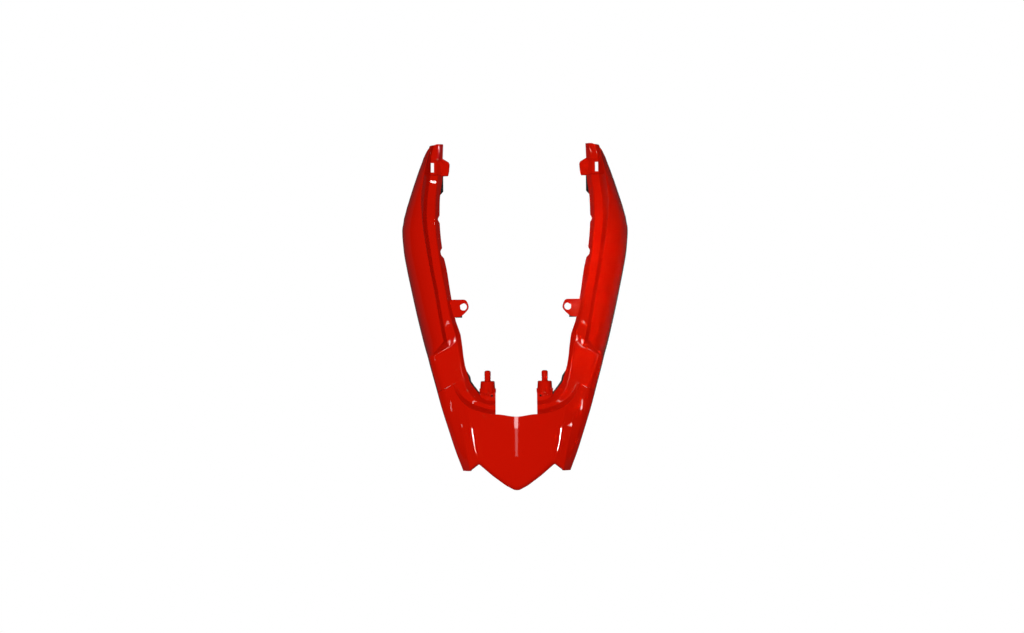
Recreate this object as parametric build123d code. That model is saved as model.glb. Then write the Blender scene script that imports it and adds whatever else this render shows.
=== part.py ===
from build123d import *
import os
from math import atan2, cos, hypot, radians, sin
from typing import NamedTuple

os.makedirs("parts", exist_ok=True)

# Tail fairing of a motorcycle: two side cowls and a centre cowl, thin painted mouldings held by screws.
# Millimetres. X to the right, Y to the front of the motorcycle, Z up. Z = 0 is the plane under the
# lower edges of the side cowls, and X = 0 is the middle of the seat opening.

# Mouldings
WALL = 2.5
PART_GAP = 0.4
TUCK = 7.0
WAIST_SHARE = 0.46
CREST_BLEND = 5.0
FOOT_BLEND = 3.2
SHELF_BLEND = 3.2

# Reach of the horns in front of their root, and of the tail's point behind its notches
HORN_ROOT_Y = 216.6
HORN_LENGTH = 43.4
FRONT_END_Y = HORN_ROOT_Y + HORN_LENGTH
NOTCH_Y = -221.2
POINT_LENGTH = 38.8

# Joint between the side cowls and the centre cowl, seen from above
CORNER = (31.0, -96.2)
SEAM_START = (94.0, -101.4)
SEAM_END = (114.9, -112.2)
REAR_END_X = 31.0
FRONT_EDGE_Y = -149.9

# Slot, hook and rail at the front of each side cowl, and the notches in its lower inner edge
SLOT_WIDTH = 4.6
SLOT_LENGTH = 14.3
SLOT_CENTRE = (124.0, 224.6)
POCKET_DEPTH = 2.8
POCKET_SHIFT = 3.0
POCKET_FRONT_MARGIN = 1.4
POCKET_REAR_MARGIN = 3.5
POCKET_RAMP = 4.0
POCKET_STEP = 1.0
HOOK_THICKNESS = 9.0
HOOK_TOP = 40.0
HOOK_EDGE = 1.5
RAIL_TOP = 45.0
NOTCH_REACH = 12.0
NOTCH_FRONT = 14.0
NOTCH_BACK = 11.0
NOTCH_LOW = 40.0
NOTCH_HIGH = 90.0

# Mounting tab
TAB_HOLE_DIAMETER = 10.5
TAB_HOLE_CENTRE = (78.2, 14.0)
TAB_RIM = 2.7
TAB_THICKNESS = 3.0
TAB_TOP = 84.0
TAB_COLLAR_HEIGHT = 3.0
TAB_FRONT = 11.0
TAB_BACK = 16.0
TAB_ROOT = 22.0
TAB_SHOULDER = 4.0
TAB_CORNER_RADIUS = 2.5

# Boss and peg on the rear flange
PEG_DIAMETER = 9.5
PEG_LENGTH = 16.0
PEG_DOME = 2.8
BOSS_DIAMETER = 21.0
BOSS_LENGTH = 17.0
BOSS_X = 42.8
BOSS_Z = 76.0
BOSS_DRAFT = 1.2
BOSS_EDGE = 1.2
BOSS_WEB_COUNT = 6
BOSS_WEB_THICKNESS = 1.6
BOSS_WEB_LENGTH = 6.0
BOSS_WEB_REACH = 2.5
PAD_FRONT_Y = -114.5
PAD_TOP = 84.5
PAD_THICKNESS = 3.0
PAD_OVERLAP = 3.0
PAD_HOLE_DIAMETER = 3.0
PAD_HOLE_CENTRE = (36.4, -119.4)
ROOT_THICKNESS = 2.5
ROOT_MARGIN = 1.5

# Tapping screws that hold the centre cowl on the side cowls
SCREW_SHANK_DIAMETER = 4.0
SCREW_LENGTH = 10.0
SCREW_HEAD_DIAMETER = 9.0
SCREW_HEAD_HEIGHT = 2.6
SCREW_HEAD_EDGE = 1.0
SCREW_POINT = 1.0
DRIVE_LENGTH = 5.0
DRIVE_WIDTH = 1.1
DRIVE_DEPTH = 1.3
SCREW_FIT = 0.1
SCREW_TIP_ROOM = 1.0
SCREW_BOSS_DIAMETER = 9.0
LUG_WIDTH = 15.0
LUG_REACH = 11.0
LUG_DROP = 0.4
SCREW_ANGLES = (54.0, 83.0)

# Stiffening ribs and the rear lip
RIB_THICKNESS = 1.8
RIB_SINK = 0.6
LIP_DEPTH = 9.0
LIP_SPAN = 124.0
LIP_FRONT_Y = -215.0

# Planes that lie clear of the whole fairing, for cutting outlines through it
CLEAR_BELOW = -5.0
CLEAR_ABOVE = 140.0
SIDE_LIMIT = 200.0
INNER_LIMIT = 50.0


class Station(NamedTuple):
    """One cross-section of a cowl's skin, from its lower outer edge over the top to its inner edge."""

    y: float
    width: float
    low: float
    slope: float
    crest: tuple
    foot: tuple
    shelf: tuple
    lip: tuple


# The side cowl in front of the fold, then along the seat, then over the end facet to the seam
FRONT_STATIONS = (
    Station(FRONT_END_Y, 128.5, 34.0, 0.9, (124.6, 61.0), (120.6, 51.0), (112.0, 49.5), (107.4, 41.5)),
    Station(HORN_ROOT_Y + 0.54 * HORN_LENGTH, 136.0, 24.0, 0.8, (130.6, 62.5), (125.6, 47.5), (114.4, 46.0), (108.3, 36.5)),
    Station(HORN_ROOT_Y, 145.6, 11.0, 0.6, (135.6, 69.0), (126.8, 50.0), (115.4, 48.5), (108.6, 38.0)),
    Station(173.9, 160.2, 2.0, 0.4, (140.6, 79.5), (131.6, 60.5), (119.3, 58.5), (113.0, 47.5)),
    Station(148.4, 167.6, 0.0, 0.35, (139.4, 85.0), (132.5, 69.5), (119.7, 67.8), (113.4, 57.0)),
)
ARM_STATIONS = (
    FRONT_STATIONS[-1],
    Station(128.9, 170.4, 0.0, 0.33, (137.1, 88.5), (130.7, 76.0), (119.1, 74.6), (112.4, 64.0)),
    Station(98.9, 168.3, 0.0, 0.33, (132.4, 92.0), (126.6, 82.2), (115.4, 81.0), (109.0, 70.5)),
    Station(68.9, 163.2, 0.0, 0.33, (127.1, 95.5), (122.1, 86.6), (111.0, 85.4), (102.6, 75.0)),
    Station(38.9, 157.0, 0.0, 0.33, (121.5, 99.0), (116.1, 90.2), (104.9, 89.0), (98.0, 79.0)),
    Station(1.2, 148.9, 0.0, 0.33, (114.9, 103.0), (109.9, 94.0), (98.2, 93.0), (91.5, 83.0)),
)
REAR_STATIONS = (
    ARM_STATIONS[-1],
    Station(-8.1, 146.7, 0.0, 0.33, (113.2, 104.0), (108.3, 95.0), (96.2, 92.0), (89.3, 82.0)),
    Station(-27.3, 142.1, 0.0, 0.33, (109.9, 106.0), (104.6, 93.6), (91.5, 91.2), (82.6, 81.5)),
    Station(-36.9, 139.7, 0.0, 0.33, (107.3, 107.0), (102.5, 93.4), (88.8, 92.2), (81.2, 82.0)),
    Station(-45.5, 137.5, 0.0, 0.45, (115.1, 101.5), (100.0, 94.2), (87.2, 93.4), (80.0, 83.0)),
    Station(-53.0, 135.5, 0.0, 0.8, (121.8, 96.5), (114.3, 93.0), (85.8, 94.6), (79.2, 84.2)),
    Station(-60.5, 133.3, 0.0, 1.5, (128.4, 87.5), (121.4, 92.4), (84.5, 95.6), (78.4, 85.4)),
    Station(-73.7, 130.0, 2.0, 1.7, (126.0, 83.0), (117.6, 93.2), (82.4, 97.0), (76.2, 86.8)),
    Station(-96.2, 123.8, 9.0, 1.7, (120.4, 82.0), (112.5, 93.6), (77.3, 98.5), (69.8, 88.0)),
    Station(-124.0, 116.2, 17.0, 1.7, (113.0, 82.5), (105.5, 94.2), (75.0, 99.0), (68.0, 88.5)),
)
# The centre cowl: here the shelf is its outer ridge and the lip its inner ridge
TAIL_STATIONS = (
    Station(-96.2, 123.8, 9.0, 1.7, (120.4, 82.0), (112.5, 93.6), (94.9, 96.1), (80.4, 101.6)),
    Station(-135.8, 112.9, 21.0, 1.5, (110.0, 83.5), (103.2, 93.2), (87.6, 98.2), (73.8, 104.0)),
    Station(-170.0, 102.2, 32.0, 1.3, (99.6, 84.5), (94.2, 92.6), (81.0, 99.4), (67.2, 105.3)),
    Station(-203.3, 91.3, 44.0, 1.2, (89.2, 84.0), (84.8, 91.4), (74.6, 99.6), (60.3, 105.4)),
    Station(-232.0, 80.4, 54.0, 1.2, (78.8, 83.0), (75.6, 90.0), (69.0, 98.6), (54.4, 104.0)),
    Station(NOTCH_Y - 1.1 * POINT_LENGTH, 68.4, 64.0, 1.2, (67.2, 81.5), (65.0, 88.0), (61.5, 96.4), (48.0, 101.0)),
)
CROWN_HEIGHTS = (108.8, 109.2, 110.0, 110.0, 108.4, 104.6)

# The ledge that follows the front edge of the centre cowl: angle from +X round CORNER, then the
# distance from CORNER and the height of wall top, wall foot, ledge edge and inner edge
LEDGE_SECTIONS = (
    (-2.0, ((65.5, 95.5), (60.2, 96.25), (46.3, 98.2), (38.8, 87.7))),
    (20.0, ((60.9, 95.4), (55.6, 90.8), (44.3, 90.4), (36.4, 81.6))),
    (45.0, ((55.8, 101.3), (48.5, 91.4), (40.4, 91.2), (33.2, 82.4))),
    (68.0, ((51.0, 103.7), (44.0, 93.0), (37.6, 92.8), (31.2, 83.6))),
    (90.0, ((50.2, 105.0), (43.8, 94.0), (36.8, 93.8), (30.4, 84.5))),
)

# Rear outline of the centre cowl on the right, from the side to the middle
LOBE_POINTS = ((95.0, -228.6), (82.0, -229.0), (78.5, -231.6), (71.0, -231.4), (60.5, -222.0))
HORN_TIP_POINTS = ((112.0, FRONT_END_Y), (117.0, FRONT_END_Y - 0.1), (124.5, FRONT_END_Y - 2.7),
                   (129.4, FRONT_END_Y - 6.5), (132.8, FRONT_END_Y - 11.8), (135.8, FRONT_END_Y - 19.8))
HOOK_OUTLINE = ((113.0, 240.0), (108.2, 238.2), (99.3, 233.0), (98.0, 229.8), (98.9, 219.0), (100.5, 212.1),
                (113.0, 211.8))
RAIL_OUTLINE = ((108.0, 213.0), (108.0, 189.0), (112.5, 184.0), (114.5, 184.0), (114.5, 213.0))
NOTCHES = ((148.4, 117.5), (95.9, 111.3))
TAIL_TIP_POINTS = ((56.0, NOTCH_Y), (32.3, NOTCH_Y - 0.52 * POINT_LENGTH), (16.3, NOTCH_Y - 0.825 * POINT_LENGTH),
                   (5.0, NOTCH_Y - 0.98 * POINT_LENGTH), (0.0, NOTCH_Y - POINT_LENGTH))


def offset_chain(points, distance):
    """Move an open chain of straight lines sideways, to its left, with mitred corners."""
    moved = []
    for i, (x, z) in enumerate(points):
        before = points[max(i - 1, 0)]
        after = points[min(i + 1, len(points) - 1)]
        heading_in = atan2(z - before[1], x - before[0]) if i else None
        heading_out = atan2(after[1] - z, after[0] - x) if i < len(points) - 1 else heading_in
        if heading_in is None:
            heading_in = heading_out
        half_turn = atan2(sin(heading_out - heading_in), cos(heading_out - heading_in)) / 2
        normal = heading_in + half_turn + radians(90)
        reach = distance / cos(half_turn)
        moved.append((x + reach * cos(normal), z + reach * sin(normal)))
    return moved


def blend_ends(points, i, blend):
    """The two points where a rounded corner leaves its straight lines."""
    x, z = points[i]
    ends = []
    for other in (points[i - 1], points[i + 1]):
        length = hypot(other[0] - x, other[1] - z)
        share = min(blend / length, 0.46)
        ends.append((x + share * (other[0] - x), z + share * (other[1] - z)))
    return ends


def segment(place, *points):
    """A straight edge through two points, or a curve shaped by three."""
    ends = [place(point) for point in points]
    return Edge.make_line(*ends) if len(ends) == 2 else Edge.make_bezier(*ends)


def chain_edges(points, place, blends=None, bent=0):
    """Edges along a chain. Its first `bent` pairs of lines are curves, and corners with a blend are rounded."""
    blends = blends or {}
    edges = []
    run = [points[0]]
    for i, corner in enumerate(points[1:-1], start=1):
        if i < 2 * bent and i % 2:
            run.append(corner)
        elif i in blends:
            entry, leave = blend_ends(points, i, blends[i])
            edges += [segment(place, *run, entry), segment(place, entry, corner, leave)]
            run = [leave]
        else:
            edges.append(segment(place, *run, corner))
            run = [corner]
    edges.append(segment(place, *run, points[-1]))
    return edges


def joined(place, *ends):
    """Straight edges through the given points."""
    return [Edge.make_line(place(a), place(b)) for a, b in zip(ends, ends[1:])]


def shell_wire(points, place, blends, bent=0):
    """Closed outline of a thin wall: its outer chain, its inner chain and the two end faces."""
    inner = offset_chain(points, WALL)
    skins = chain_edges(points, place, blends, bent) + chain_edges(inner, place, bent=bent)
    caps = joined(place, points[0], inner[0]) + joined(place, points[-1], inner[-1])
    return Wire(skins + caps)


def side_points(station):
    """Corners of a side cowl's section."""
    y, width, low, slope, crest, foot, shelf, lip = station
    waist = low + WAIST_SHARE * (crest[1] - low)
    knee = low + 0.5 * (waist - low)
    brow = max(crest[1] - slope * (width - crest[0]), waist + 1.0)
    return [(width - TUCK, low), (width, knee), (width, waist), (width, brow), crest, foot, shelf, lip]


TAIL_BLENDS = {4: CREST_BLEND, 5: CREST_BLEND, 6: FOOT_BLEND, 7: FOOT_BLEND}
SIDE_BLENDS = {4: CREST_BLEND, 5: FOOT_BLEND, 6: SHELF_BLEND}
LEDGE_BLENDS = {1: FOOT_BLEND, 2: SHELF_BLEND}


def at_station(y):
    """Placing function for a section across the fairing."""
    return lambda point: Vector(point[0], y, point[1])


def at_angle(angle):
    """Placing function for a section on a ray from CORNER."""
    turn = radians(angle)
    return lambda point: Vector(CORNER[0] + point[0] * cos(turn), CORNER[1] - point[0] * sin(turn), point[1])


def station_at(table, y):
    """Section at any place, worked out between the given ones."""
    for ahead, behind in zip(table, table[1:]):
        if behind.y <= y <= ahead.y:
            share = (ahead.y - y) / (ahead.y - behind.y)
            plain = [a + share * (b - a) for a, b in zip(ahead[:4], behind[:4])]
            pairs = [tuple(p + share * (q - p) for p, q in zip(a, b)) for a, b in zip(ahead[4:], behind[4:])]
            return Station(*plain, *pairs)
    raise ValueError("place outside the table")


def front_sections():
    """The horn's sections with the pocket round the slot: a sunken floor, a ramp before it and a step behind it."""
    floor_front = SLOT_CENTRE[1] + SLOT_LENGTH / 2 + POCKET_FRONT_MARGIN
    floor_rear = SLOT_CENTRE[1] - SLOT_LENGTH / 2 - POCKET_REAR_MARGIN
    places = {station.y for station in FRONT_STATIONS}
    places |= {floor_front + POCKET_RAMP, floor_front, floor_rear, floor_rear - POCKET_STEP}
    sections = []
    for y in sorted(places, reverse=True):
        station = station_at(FRONT_STATIONS, y)
        if floor_rear <= y <= floor_front:
            foot = (station.foot[0], station.foot[1] - POCKET_DEPTH)
            shelf = (station.shelf[0] + POCKET_SHIFT, station.shelf[1] - POCKET_DEPTH)
            station = station._replace(foot=foot, shelf=shelf)
        sections.append(station)
    return sections


def side_shell(stations):
    """Thin wall of the side cowl through the given sections."""
    wires = [shell_wire(side_points(s), at_station(s.y), SIDE_BLENDS, 2) for s in stations]
    return Solid.make_loft(wires, ruled=True)


def upright(face, low=CLEAR_BELOW, high=CLEAR_ABOVE):
    """Upright prism over a flat face."""
    return extrude(Pos(0, 0, low) * face, high - low)


def plan_prism(points, low=CLEAR_BELOW, high=CLEAR_ABOVE):
    """Upright prism over a straight-sided outline."""
    return upright(make_face(Polyline(*points, close=True)), low, high)


def seam_y(x):
    """Place of the outer seam at any distance from the middle."""
    slope = (SEAM_END[1] - SEAM_START[1]) / (SEAM_END[0] - SEAM_START[0])
    return SEAM_START[1] + slope * (x - SEAM_START[0])


def front_edge_points():
    """Front edge of the centre cowl on the right, from the seam to the middle."""
    return [SEAM_START] + [tuple(at_angle(a)(chain[0]))[:2] for a, chain in LEDGE_SECTIONS[1:]]


def tail_points(station, crown):
    """Corners of the centre cowl's section on the right, ending above the middle."""
    return side_points(station) + [(0.0, crown)]


def mirrored(edges):
    """The same edges on the other side of the middle plane."""
    return [edge.mirror(Plane.YZ) for edge in edges]


def tail_chain(station, crown, inset=0.0):
    """Edges over the centre cowl from side to side, moved inwards by an inset, and their lower end."""
    place = at_station(station.y)
    corners = tail_points(station, crown)
    moved = offset_chain(corners, inset)[:-1]
    edges = chain_edges(moved, place, {} if inset else TAIL_BLENDS, 2)
    x, z = moved[-1]
    swell = (4 * (crown - inset) - z) / 3
    arch = Edge.make_bezier(*[place(p) for p in ((x, z), (x / 2, swell), (-x / 2, swell), (-x, z))])
    return edges + [arch] + mirrored(edges), moved[0]


def tail_fill(inset):
    """Solid under the centre cowl's skin, moved inwards, down to the height of its lower edges."""
    wires = []
    for station, crown in zip(TAIL_STATIONS, CROWN_HEIGHTS):
        edges, end = tail_chain(station, crown, inset)
        closing = joined(at_station(station.y), end, (0.0, end[1]))
        wires.append(Wire(edges + closing + mirrored(closing)))
    return Solid.make_loft(wires, ruled=True)


def tail_shell():
    """Thin wall of the centre cowl before its outline is cut."""
    wires = []
    for station, crown in zip(TAIL_STATIONS, CROWN_HEIGHTS):
        outer, a = tail_chain(station, crown)
        inner, b = tail_chain(station, crown, WALL)
        caps = joined(at_station(station.y), a, b)
        wires.append(Wire(outer + inner + caps + mirrored(caps)))
    return Solid.make_loft(wires, ruled=True)


def tail_outline(grow=0.0):
    """Outline of the centre cowl seen from above, moved outwards by `grow`."""
    front = front_edge_points()
    seam_far = (SIDE_LIMIT, seam_y(SIDE_LIMIT))
    side_far = (SIDE_LIMIT, LOBE_POINTS[0][1])
    corners = [(0.0, FRONT_EDGE_Y), *reversed(front), seam_far, side_far, *LOBE_POINTS, *TAIL_TIP_POINTS]
    moved = offset_chain(corners, grow)
    moved[0] = (0.0, moved[0][1])
    moved[-1] = (0.0, moved[-1][1])
    seam = len(front)
    lobe = seam + 3
    tip = lobe + len(LOBE_POINTS)
    edges = Spline(*moved[:seam + 1], tangents=((1.0, 0.0), (0.25, 1.0))).edges()
    edges += Polyline(*moved[seam:lobe + 1]).edges()
    edges += Spline(*moved[lobe:tip + 1], tangents=((-1.0, 0.0), (-1.0, -0.3))).edges()
    edges += Spline(*moved[tip:], tangents=((-1.0, -0.8), (-1.0, 0.0))).edges()
    return make_face(Wire(edges + mirrored(edges)))


def between(table, angle):
    """Corners of the ledge's section at any angle, worked out between the given sections."""
    for (a, lower), (b, upper) in zip(table, table[1:]):
        if a <= angle <= b:
            share = (angle - a) / (b - a)
            return [tuple(p + share * (q - p) for p, q in zip(one, two)) for one, two in zip(lower, upper)]
    raise ValueError("angle outside the ledge")


def screw_seat(angle):
    """Centre of a joining screw's lug, on the upper face of the lug."""
    top, foot = between(LEDGE_SECTIONS, angle)[:2]
    x, y, _ = at_angle(angle)((top[0] + LUG_REACH, 0.0))
    return Vector(x, y, foot[1] - LUG_DROP)


def rib(station):
    """Upright rib across the hollow of a side cowl, under its crest."""
    corners = side_points(station)
    inner = offset_chain(corners, WALL - RIB_SINK)
    place = at_station(station.y)
    edges = chain_edges(inner[2:], place, bent=1)
    web = make_face(edges + joined(place, inner[-1], inner[2]))
    return extrude(web, RIB_THICKNESS / 2, both=True)


def lug(angle):
    """Flat lug behind the ledge, under the centre cowl, with the hole of a joining screw."""
    seat = screw_seat(angle)
    foot = between(LEDGE_SECTIONS, angle)[1]
    start = Vector(*at_angle(angle)((foot[0] - WALL / 2, 0.0)))
    run = Vector(seat.X - start.X, seat.Y - start.Y, 0)
    plane = Plane(origin=(start.X, start.Y, seat.Z - WALL), x_dir=run, z_dir=(0, 0, 1))
    flat = Pos(run.length / 2, 0) * Rectangle(run.length, LUG_WIDTH) + Pos(run.length, 0) * Circle(LUG_WIDTH / 2)
    flat -= Pos(run.length, 0) * Circle(SCREW_SHANK_DIAMETER / 2 + SCREW_FIT)
    return extrude(plane * flat, WALL)


def mounting_tab():
    """Tab with a collared hole, on the inner edge of the arm."""
    x, y = TAB_HOLE_CENTRE
    rim = TAB_HOLE_DIAMETER / 2 + TAB_RIM
    flat = make_face(Polyline((x + TAB_ROOT, y + TAB_FRONT), (x - TAB_SHOULDER, y + TAB_FRONT),
                              (x - rim, y + rim / 3), (x - rim, y - rim / 3), (x - TAB_SHOULDER, y - rim),
                              (x + TAB_SHOULDER, y - TAB_BACK), (x + TAB_ROOT, y - TAB_BACK), close=True))
    flat = fillet(flat.vertices().sort_by(Axis.X)[:4], TAB_CORNER_RADIUS)
    bottom = TAB_TOP - TAB_THICKNESS
    collar = Pos(x, y, bottom - TAB_COLLAR_HEIGHT / 2) * Cylinder(rim, TAB_COLLAR_HEIGHT)
    return upright(flat, bottom, TAB_TOP) + collar


def peg_boss():
    """Drafted boss with ribs and a domed peg, pointing to the front."""
    radius = BOSS_DIAMETER / 2
    peg_radius = PEG_DIAMETER / 2
    tip = BOSS_LENGTH + PEG_LENGTH
    straight = Polyline((0, 0), (radius + BOSS_DRAFT, 0), (radius, BOSS_LENGTH - BOSS_EDGE),
                        (radius - BOSS_EDGE, BOSS_LENGTH), (peg_radius, BOSS_LENGTH), (peg_radius, tip - PEG_DOME))
    dome = Spline((peg_radius, tip - PEG_DOME), (0, tip), tangents=((0, 1), (-1, 0)))
    half = make_face(straight + dome + Line((0, tip), (0, 0)))
    boss = revolve(half, Axis.Y)
    web = Box(BOSS_WEB_THICKNESS, BOSS_WEB_LENGTH, 2 * (radius + BOSS_WEB_REACH))
    for number in range(BOSS_WEB_COUNT):
        boss += Pos(0, BOSS_WEB_LENGTH / 2, 0) * Rot(0, 180 * number / BOSS_WEB_COUNT, 0) * web
    return Pos(BOSS_X, PAD_FRONT_Y, BOSS_Z) * boss


def pad():
    """Flat flange behind the boss, and the upright plate under its front edge that the boss stands on."""
    ring = [at_angle(a)((between(LEDGE_SECTIONS, a)[3][0] + PAD_OVERLAP, 0.0)) for a in (90.0, 68.0, 45.0)]
    outline = [(p.X, p.Y) for p in ring] + [(ring[-1].X, PAD_FRONT_Y), (REAR_END_X, PAD_FRONT_Y)]
    plate = plan_prism(outline, PAD_TOP - PAD_THICKNESS, PAD_TOP)
    reach = BOSS_DIAMETER / 2 + BOSS_DRAFT + ROOT_MARGIN
    root = ((REAR_END_X, PAD_FRONT_Y), (BOSS_X + reach, PAD_FRONT_Y),
            (BOSS_X + reach, PAD_FRONT_Y - ROOT_THICKNESS), (REAR_END_X, PAD_FRONT_Y - ROOT_THICKNESS))
    return plate + plan_prism(root, BOSS_Z - reach, PAD_TOP)


def hook():
    """Block on the inner side of the horn, and the narrow rail behind it."""
    bottom = HOOK_TOP - HOOK_THICKNESS
    block = plan_prism(HOOK_OUTLINE, bottom, HOOK_TOP)
    block = chamfer(block.edges().group_by(Axis.X)[0], HOOK_EDGE)
    rail = plan_prism(RAIL_OUTLINE, bottom, bottom + WALL)
    (_, front), _, _, (outer, back), _ = RAIL_OUTLINE
    web = ((outer - WALL, front), (outer, front), (outer, back), (outer - WALL, back))
    return block + rail + plan_prism(web, bottom, RAIL_TOP)


def horn_outline():
    """Outline that rounds off the front end of the side cowl."""
    first, last = HORN_TIP_POINTS[0], HORN_TIP_POINTS[-1]
    rest = Polyline(last, (SIDE_LIMIT, last[1]), (SIDE_LIMIT, CORNER[1]), (INNER_LIMIT, CORNER[1]),
                    (INNER_LIMIT, first[1]), first)
    return make_face(Spline(*HORN_TIP_POINTS) + rest)


def rear_outline():
    """Outline of the side cowl's rear part: up to the ledge's first section, and outside it up to the seam."""
    front = ARM_STATIONS[-1].y + TAB_FRONT
    return ((INNER_LIMIT, front), (SIDE_LIMIT, front), (SIDE_LIMIT, seam_y(SIDE_LIMIT)), SEAM_START,
            (SEAM_START[0], CORNER[1]), (INNER_LIMIT, CORNER[1]))


def slot_prism():
    """Upright prism over the slot."""
    across, along = SLOT_WIDTH / 2, SLOT_LENGTH / 2
    x, y = SLOT_CENTRE
    return plan_prism(((x - across, y - along), (x + across, y - along), (x + across, y + along),
                       (x - across, y + along)))


def side_cowl(room):
    """Right side cowl, one moulding. `room` is the space that the centre cowl needs."""
    front = side_shell(front_sections())
    ledge = Solid.make_loft([shell_wire(chain, at_angle(a), LEDGE_BLENDS) for a, chain in LEDGE_SECTIONS])
    cowl = (front & upright(horn_outline())) + side_shell(ARM_STATIONS)
    cowl = cowl + (side_shell(REAR_STATIONS) & plan_prism(rear_outline())) + ledge
    for station in (FRONT_STATIONS[-2], ARM_STATIONS[2], ARM_STATIONS[4]):
        cowl += rib(station)
    for angle in SCREW_ANGLES:
        cowl += lug(angle)
    cowl = cowl + mounting_tab() + pad() + peg_boss() + hook() - room
    cowl -= slot_prism()
    cowl -= Pos(*TAB_HOLE_CENTRE, TAB_TOP) * Cylinder(TAB_HOLE_DIAMETER / 2, TAB_TOP / 2)
    cowl -= Pos(*PAD_HOLE_CENTRE, PAD_TOP) * Cylinder(PAD_HOLE_DIAMETER / 2, 3 * PAD_THICKNESS)
    for y, deepest in NOTCHES:
        near = deepest - NOTCH_REACH
        cowl -= plan_prism(((near, y + NOTCH_FRONT), (deepest, y), (near, y - NOTCH_BACK)), NOTCH_LOW, NOTCH_HIGH)
    return cowl


def centre_cowl():
    """Centre cowl, one moulding, with its rear lip and the bosses of the joining screws."""
    outline = tail_outline()
    cowl = tail_shell() & upright(outline)
    fill = tail_fill(RIB_SINK)
    half_span = LIP_SPAN / 2
    lip_zone = plan_prism(((-half_span, LIP_FRONT_Y), (half_span, LIP_FRONT_Y), (half_span, -SIDE_LIMIT * 2),
                           (-half_span, -SIDE_LIMIT * 2)))
    edge_band = upright(outline - tail_outline(-WALL)) & lip_zone
    cowl += (edge_band & fill) - Pos(0, 0, -LIP_DEPTH) * fill
    bore_depth = SCREW_LENGTH - WALL + SCREW_TIP_ROOM
    for side in (1, -1):
        for angle in SCREW_ANGLES:
            seat = screw_seat(angle)
            at_seat = Pos(side * seat.X, seat.Y, seat.Z)
            height = CLEAR_ABOVE - seat.Z
            boss = at_seat * Pos(0, 0, height / 2) * Cylinder(SCREW_BOSS_DIAMETER / 2, height)
            bore = at_seat * Pos(0, 0, bore_depth / 2) * Cylinder(SCREW_SHANK_DIAMETER / 2 + SCREW_FIT, bore_depth)
            cowl = cowl + (boss & fill) - bore
    return cowl


def screw(seat):
    """Pan-head tapping screw, its head under the lug and its point up in the boss."""
    radius = SCREW_SHANK_DIAMETER / 2
    head_radius = SCREW_HEAD_DIAMETER / 2
    half = Polyline((0, -SCREW_HEAD_HEIGHT), (head_radius - SCREW_HEAD_EDGE, -SCREW_HEAD_HEIGHT),
                    (head_radius, SCREW_HEAD_EDGE - SCREW_HEAD_HEIGHT), (head_radius, 0), (radius, 0),
                    (radius, SCREW_LENGTH - SCREW_POINT), (radius - SCREW_POINT, SCREW_LENGTH),
                    (0, SCREW_LENGTH), close=True)
    body = revolve(Plane.XZ * make_face(half), Axis.Z)
    drive = Box(DRIVE_LENGTH, DRIVE_WIDTH, 2 * DRIVE_DEPTH)
    body -= Pos(0, 0, -SCREW_HEAD_HEIGHT) * (drive + Rot(0, 0, 90) * drive)
    return Pos(seat.X, seat.Y, seat.Z - WALL) * body


def main():
    """Build every piece and write it."""
    room = upright(tail_outline(PART_GAP)) - tail_fill(WALL + PART_GAP)
    right = side_cowl(room)
    pieces = {"side_cowl_right": right, "side_cowl_left": right.mirror(Plane.YZ), "centre_cowl": centre_cowl()}
    for number, angle in enumerate(SCREW_ANGLES, start=1):
        one = screw(screw_seat(angle))
        pieces[f"joining_screw_right_{number}"] = one
        pieces[f"joining_screw_left_{number}"] = one.mirror(Plane.YZ)
    for name, piece in pieces.items():
        print(name, "solids", len(piece.solids()), "valid", piece.is_valid, "volume", round(piece.volume))
        export_step(piece, f"parts/{name}.step")


main()
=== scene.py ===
import logging
from dataclasses import dataclass
from enum import Enum
from typing import Sequence

import bmesh
import bpy
import numpy as np
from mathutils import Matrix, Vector


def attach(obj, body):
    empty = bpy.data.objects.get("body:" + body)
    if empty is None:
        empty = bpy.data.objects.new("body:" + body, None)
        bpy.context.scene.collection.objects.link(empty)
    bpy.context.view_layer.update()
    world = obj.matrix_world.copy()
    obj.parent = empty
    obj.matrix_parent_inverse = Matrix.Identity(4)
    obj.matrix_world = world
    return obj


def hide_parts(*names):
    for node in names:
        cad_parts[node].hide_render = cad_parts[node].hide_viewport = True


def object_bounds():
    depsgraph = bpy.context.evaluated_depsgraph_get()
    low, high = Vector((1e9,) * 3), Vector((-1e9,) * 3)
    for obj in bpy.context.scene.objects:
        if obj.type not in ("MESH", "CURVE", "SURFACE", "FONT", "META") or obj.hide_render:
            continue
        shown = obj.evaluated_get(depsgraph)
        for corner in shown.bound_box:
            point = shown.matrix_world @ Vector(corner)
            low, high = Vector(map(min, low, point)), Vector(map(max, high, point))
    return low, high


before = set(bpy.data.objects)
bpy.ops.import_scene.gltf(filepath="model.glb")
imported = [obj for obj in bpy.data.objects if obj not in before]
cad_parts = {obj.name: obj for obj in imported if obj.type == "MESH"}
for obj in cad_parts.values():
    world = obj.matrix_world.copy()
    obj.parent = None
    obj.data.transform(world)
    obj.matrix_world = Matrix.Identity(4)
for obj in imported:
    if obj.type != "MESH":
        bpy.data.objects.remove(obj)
cad_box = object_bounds()
log = logging.getLogger("tail_fairing")

# lengths are in millimetres, and MM brings them to metres
MM = 0.001
WALL = 2.5
PART_GAP = 0.4
CORNER = (31.0, -96.2)
SEAM_START = (94.0, -101.4)
SEAM_END = (114.9, -112.2)
SEAM_SLOPE = (SEAM_END[1] - SEAM_START[1]) / (SEAM_END[0] - SEAM_START[0])
# each screw's angle round the corner, and half the width of the lug under it
SCREW_LUGS = ((54.0, 7.5), (83.0, 5.2))
LEG_LIMIT = 0.46
FOLD_SAMPLES = 7
TINY = 1e-12
CREASE_ANGLE = 38.0


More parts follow.
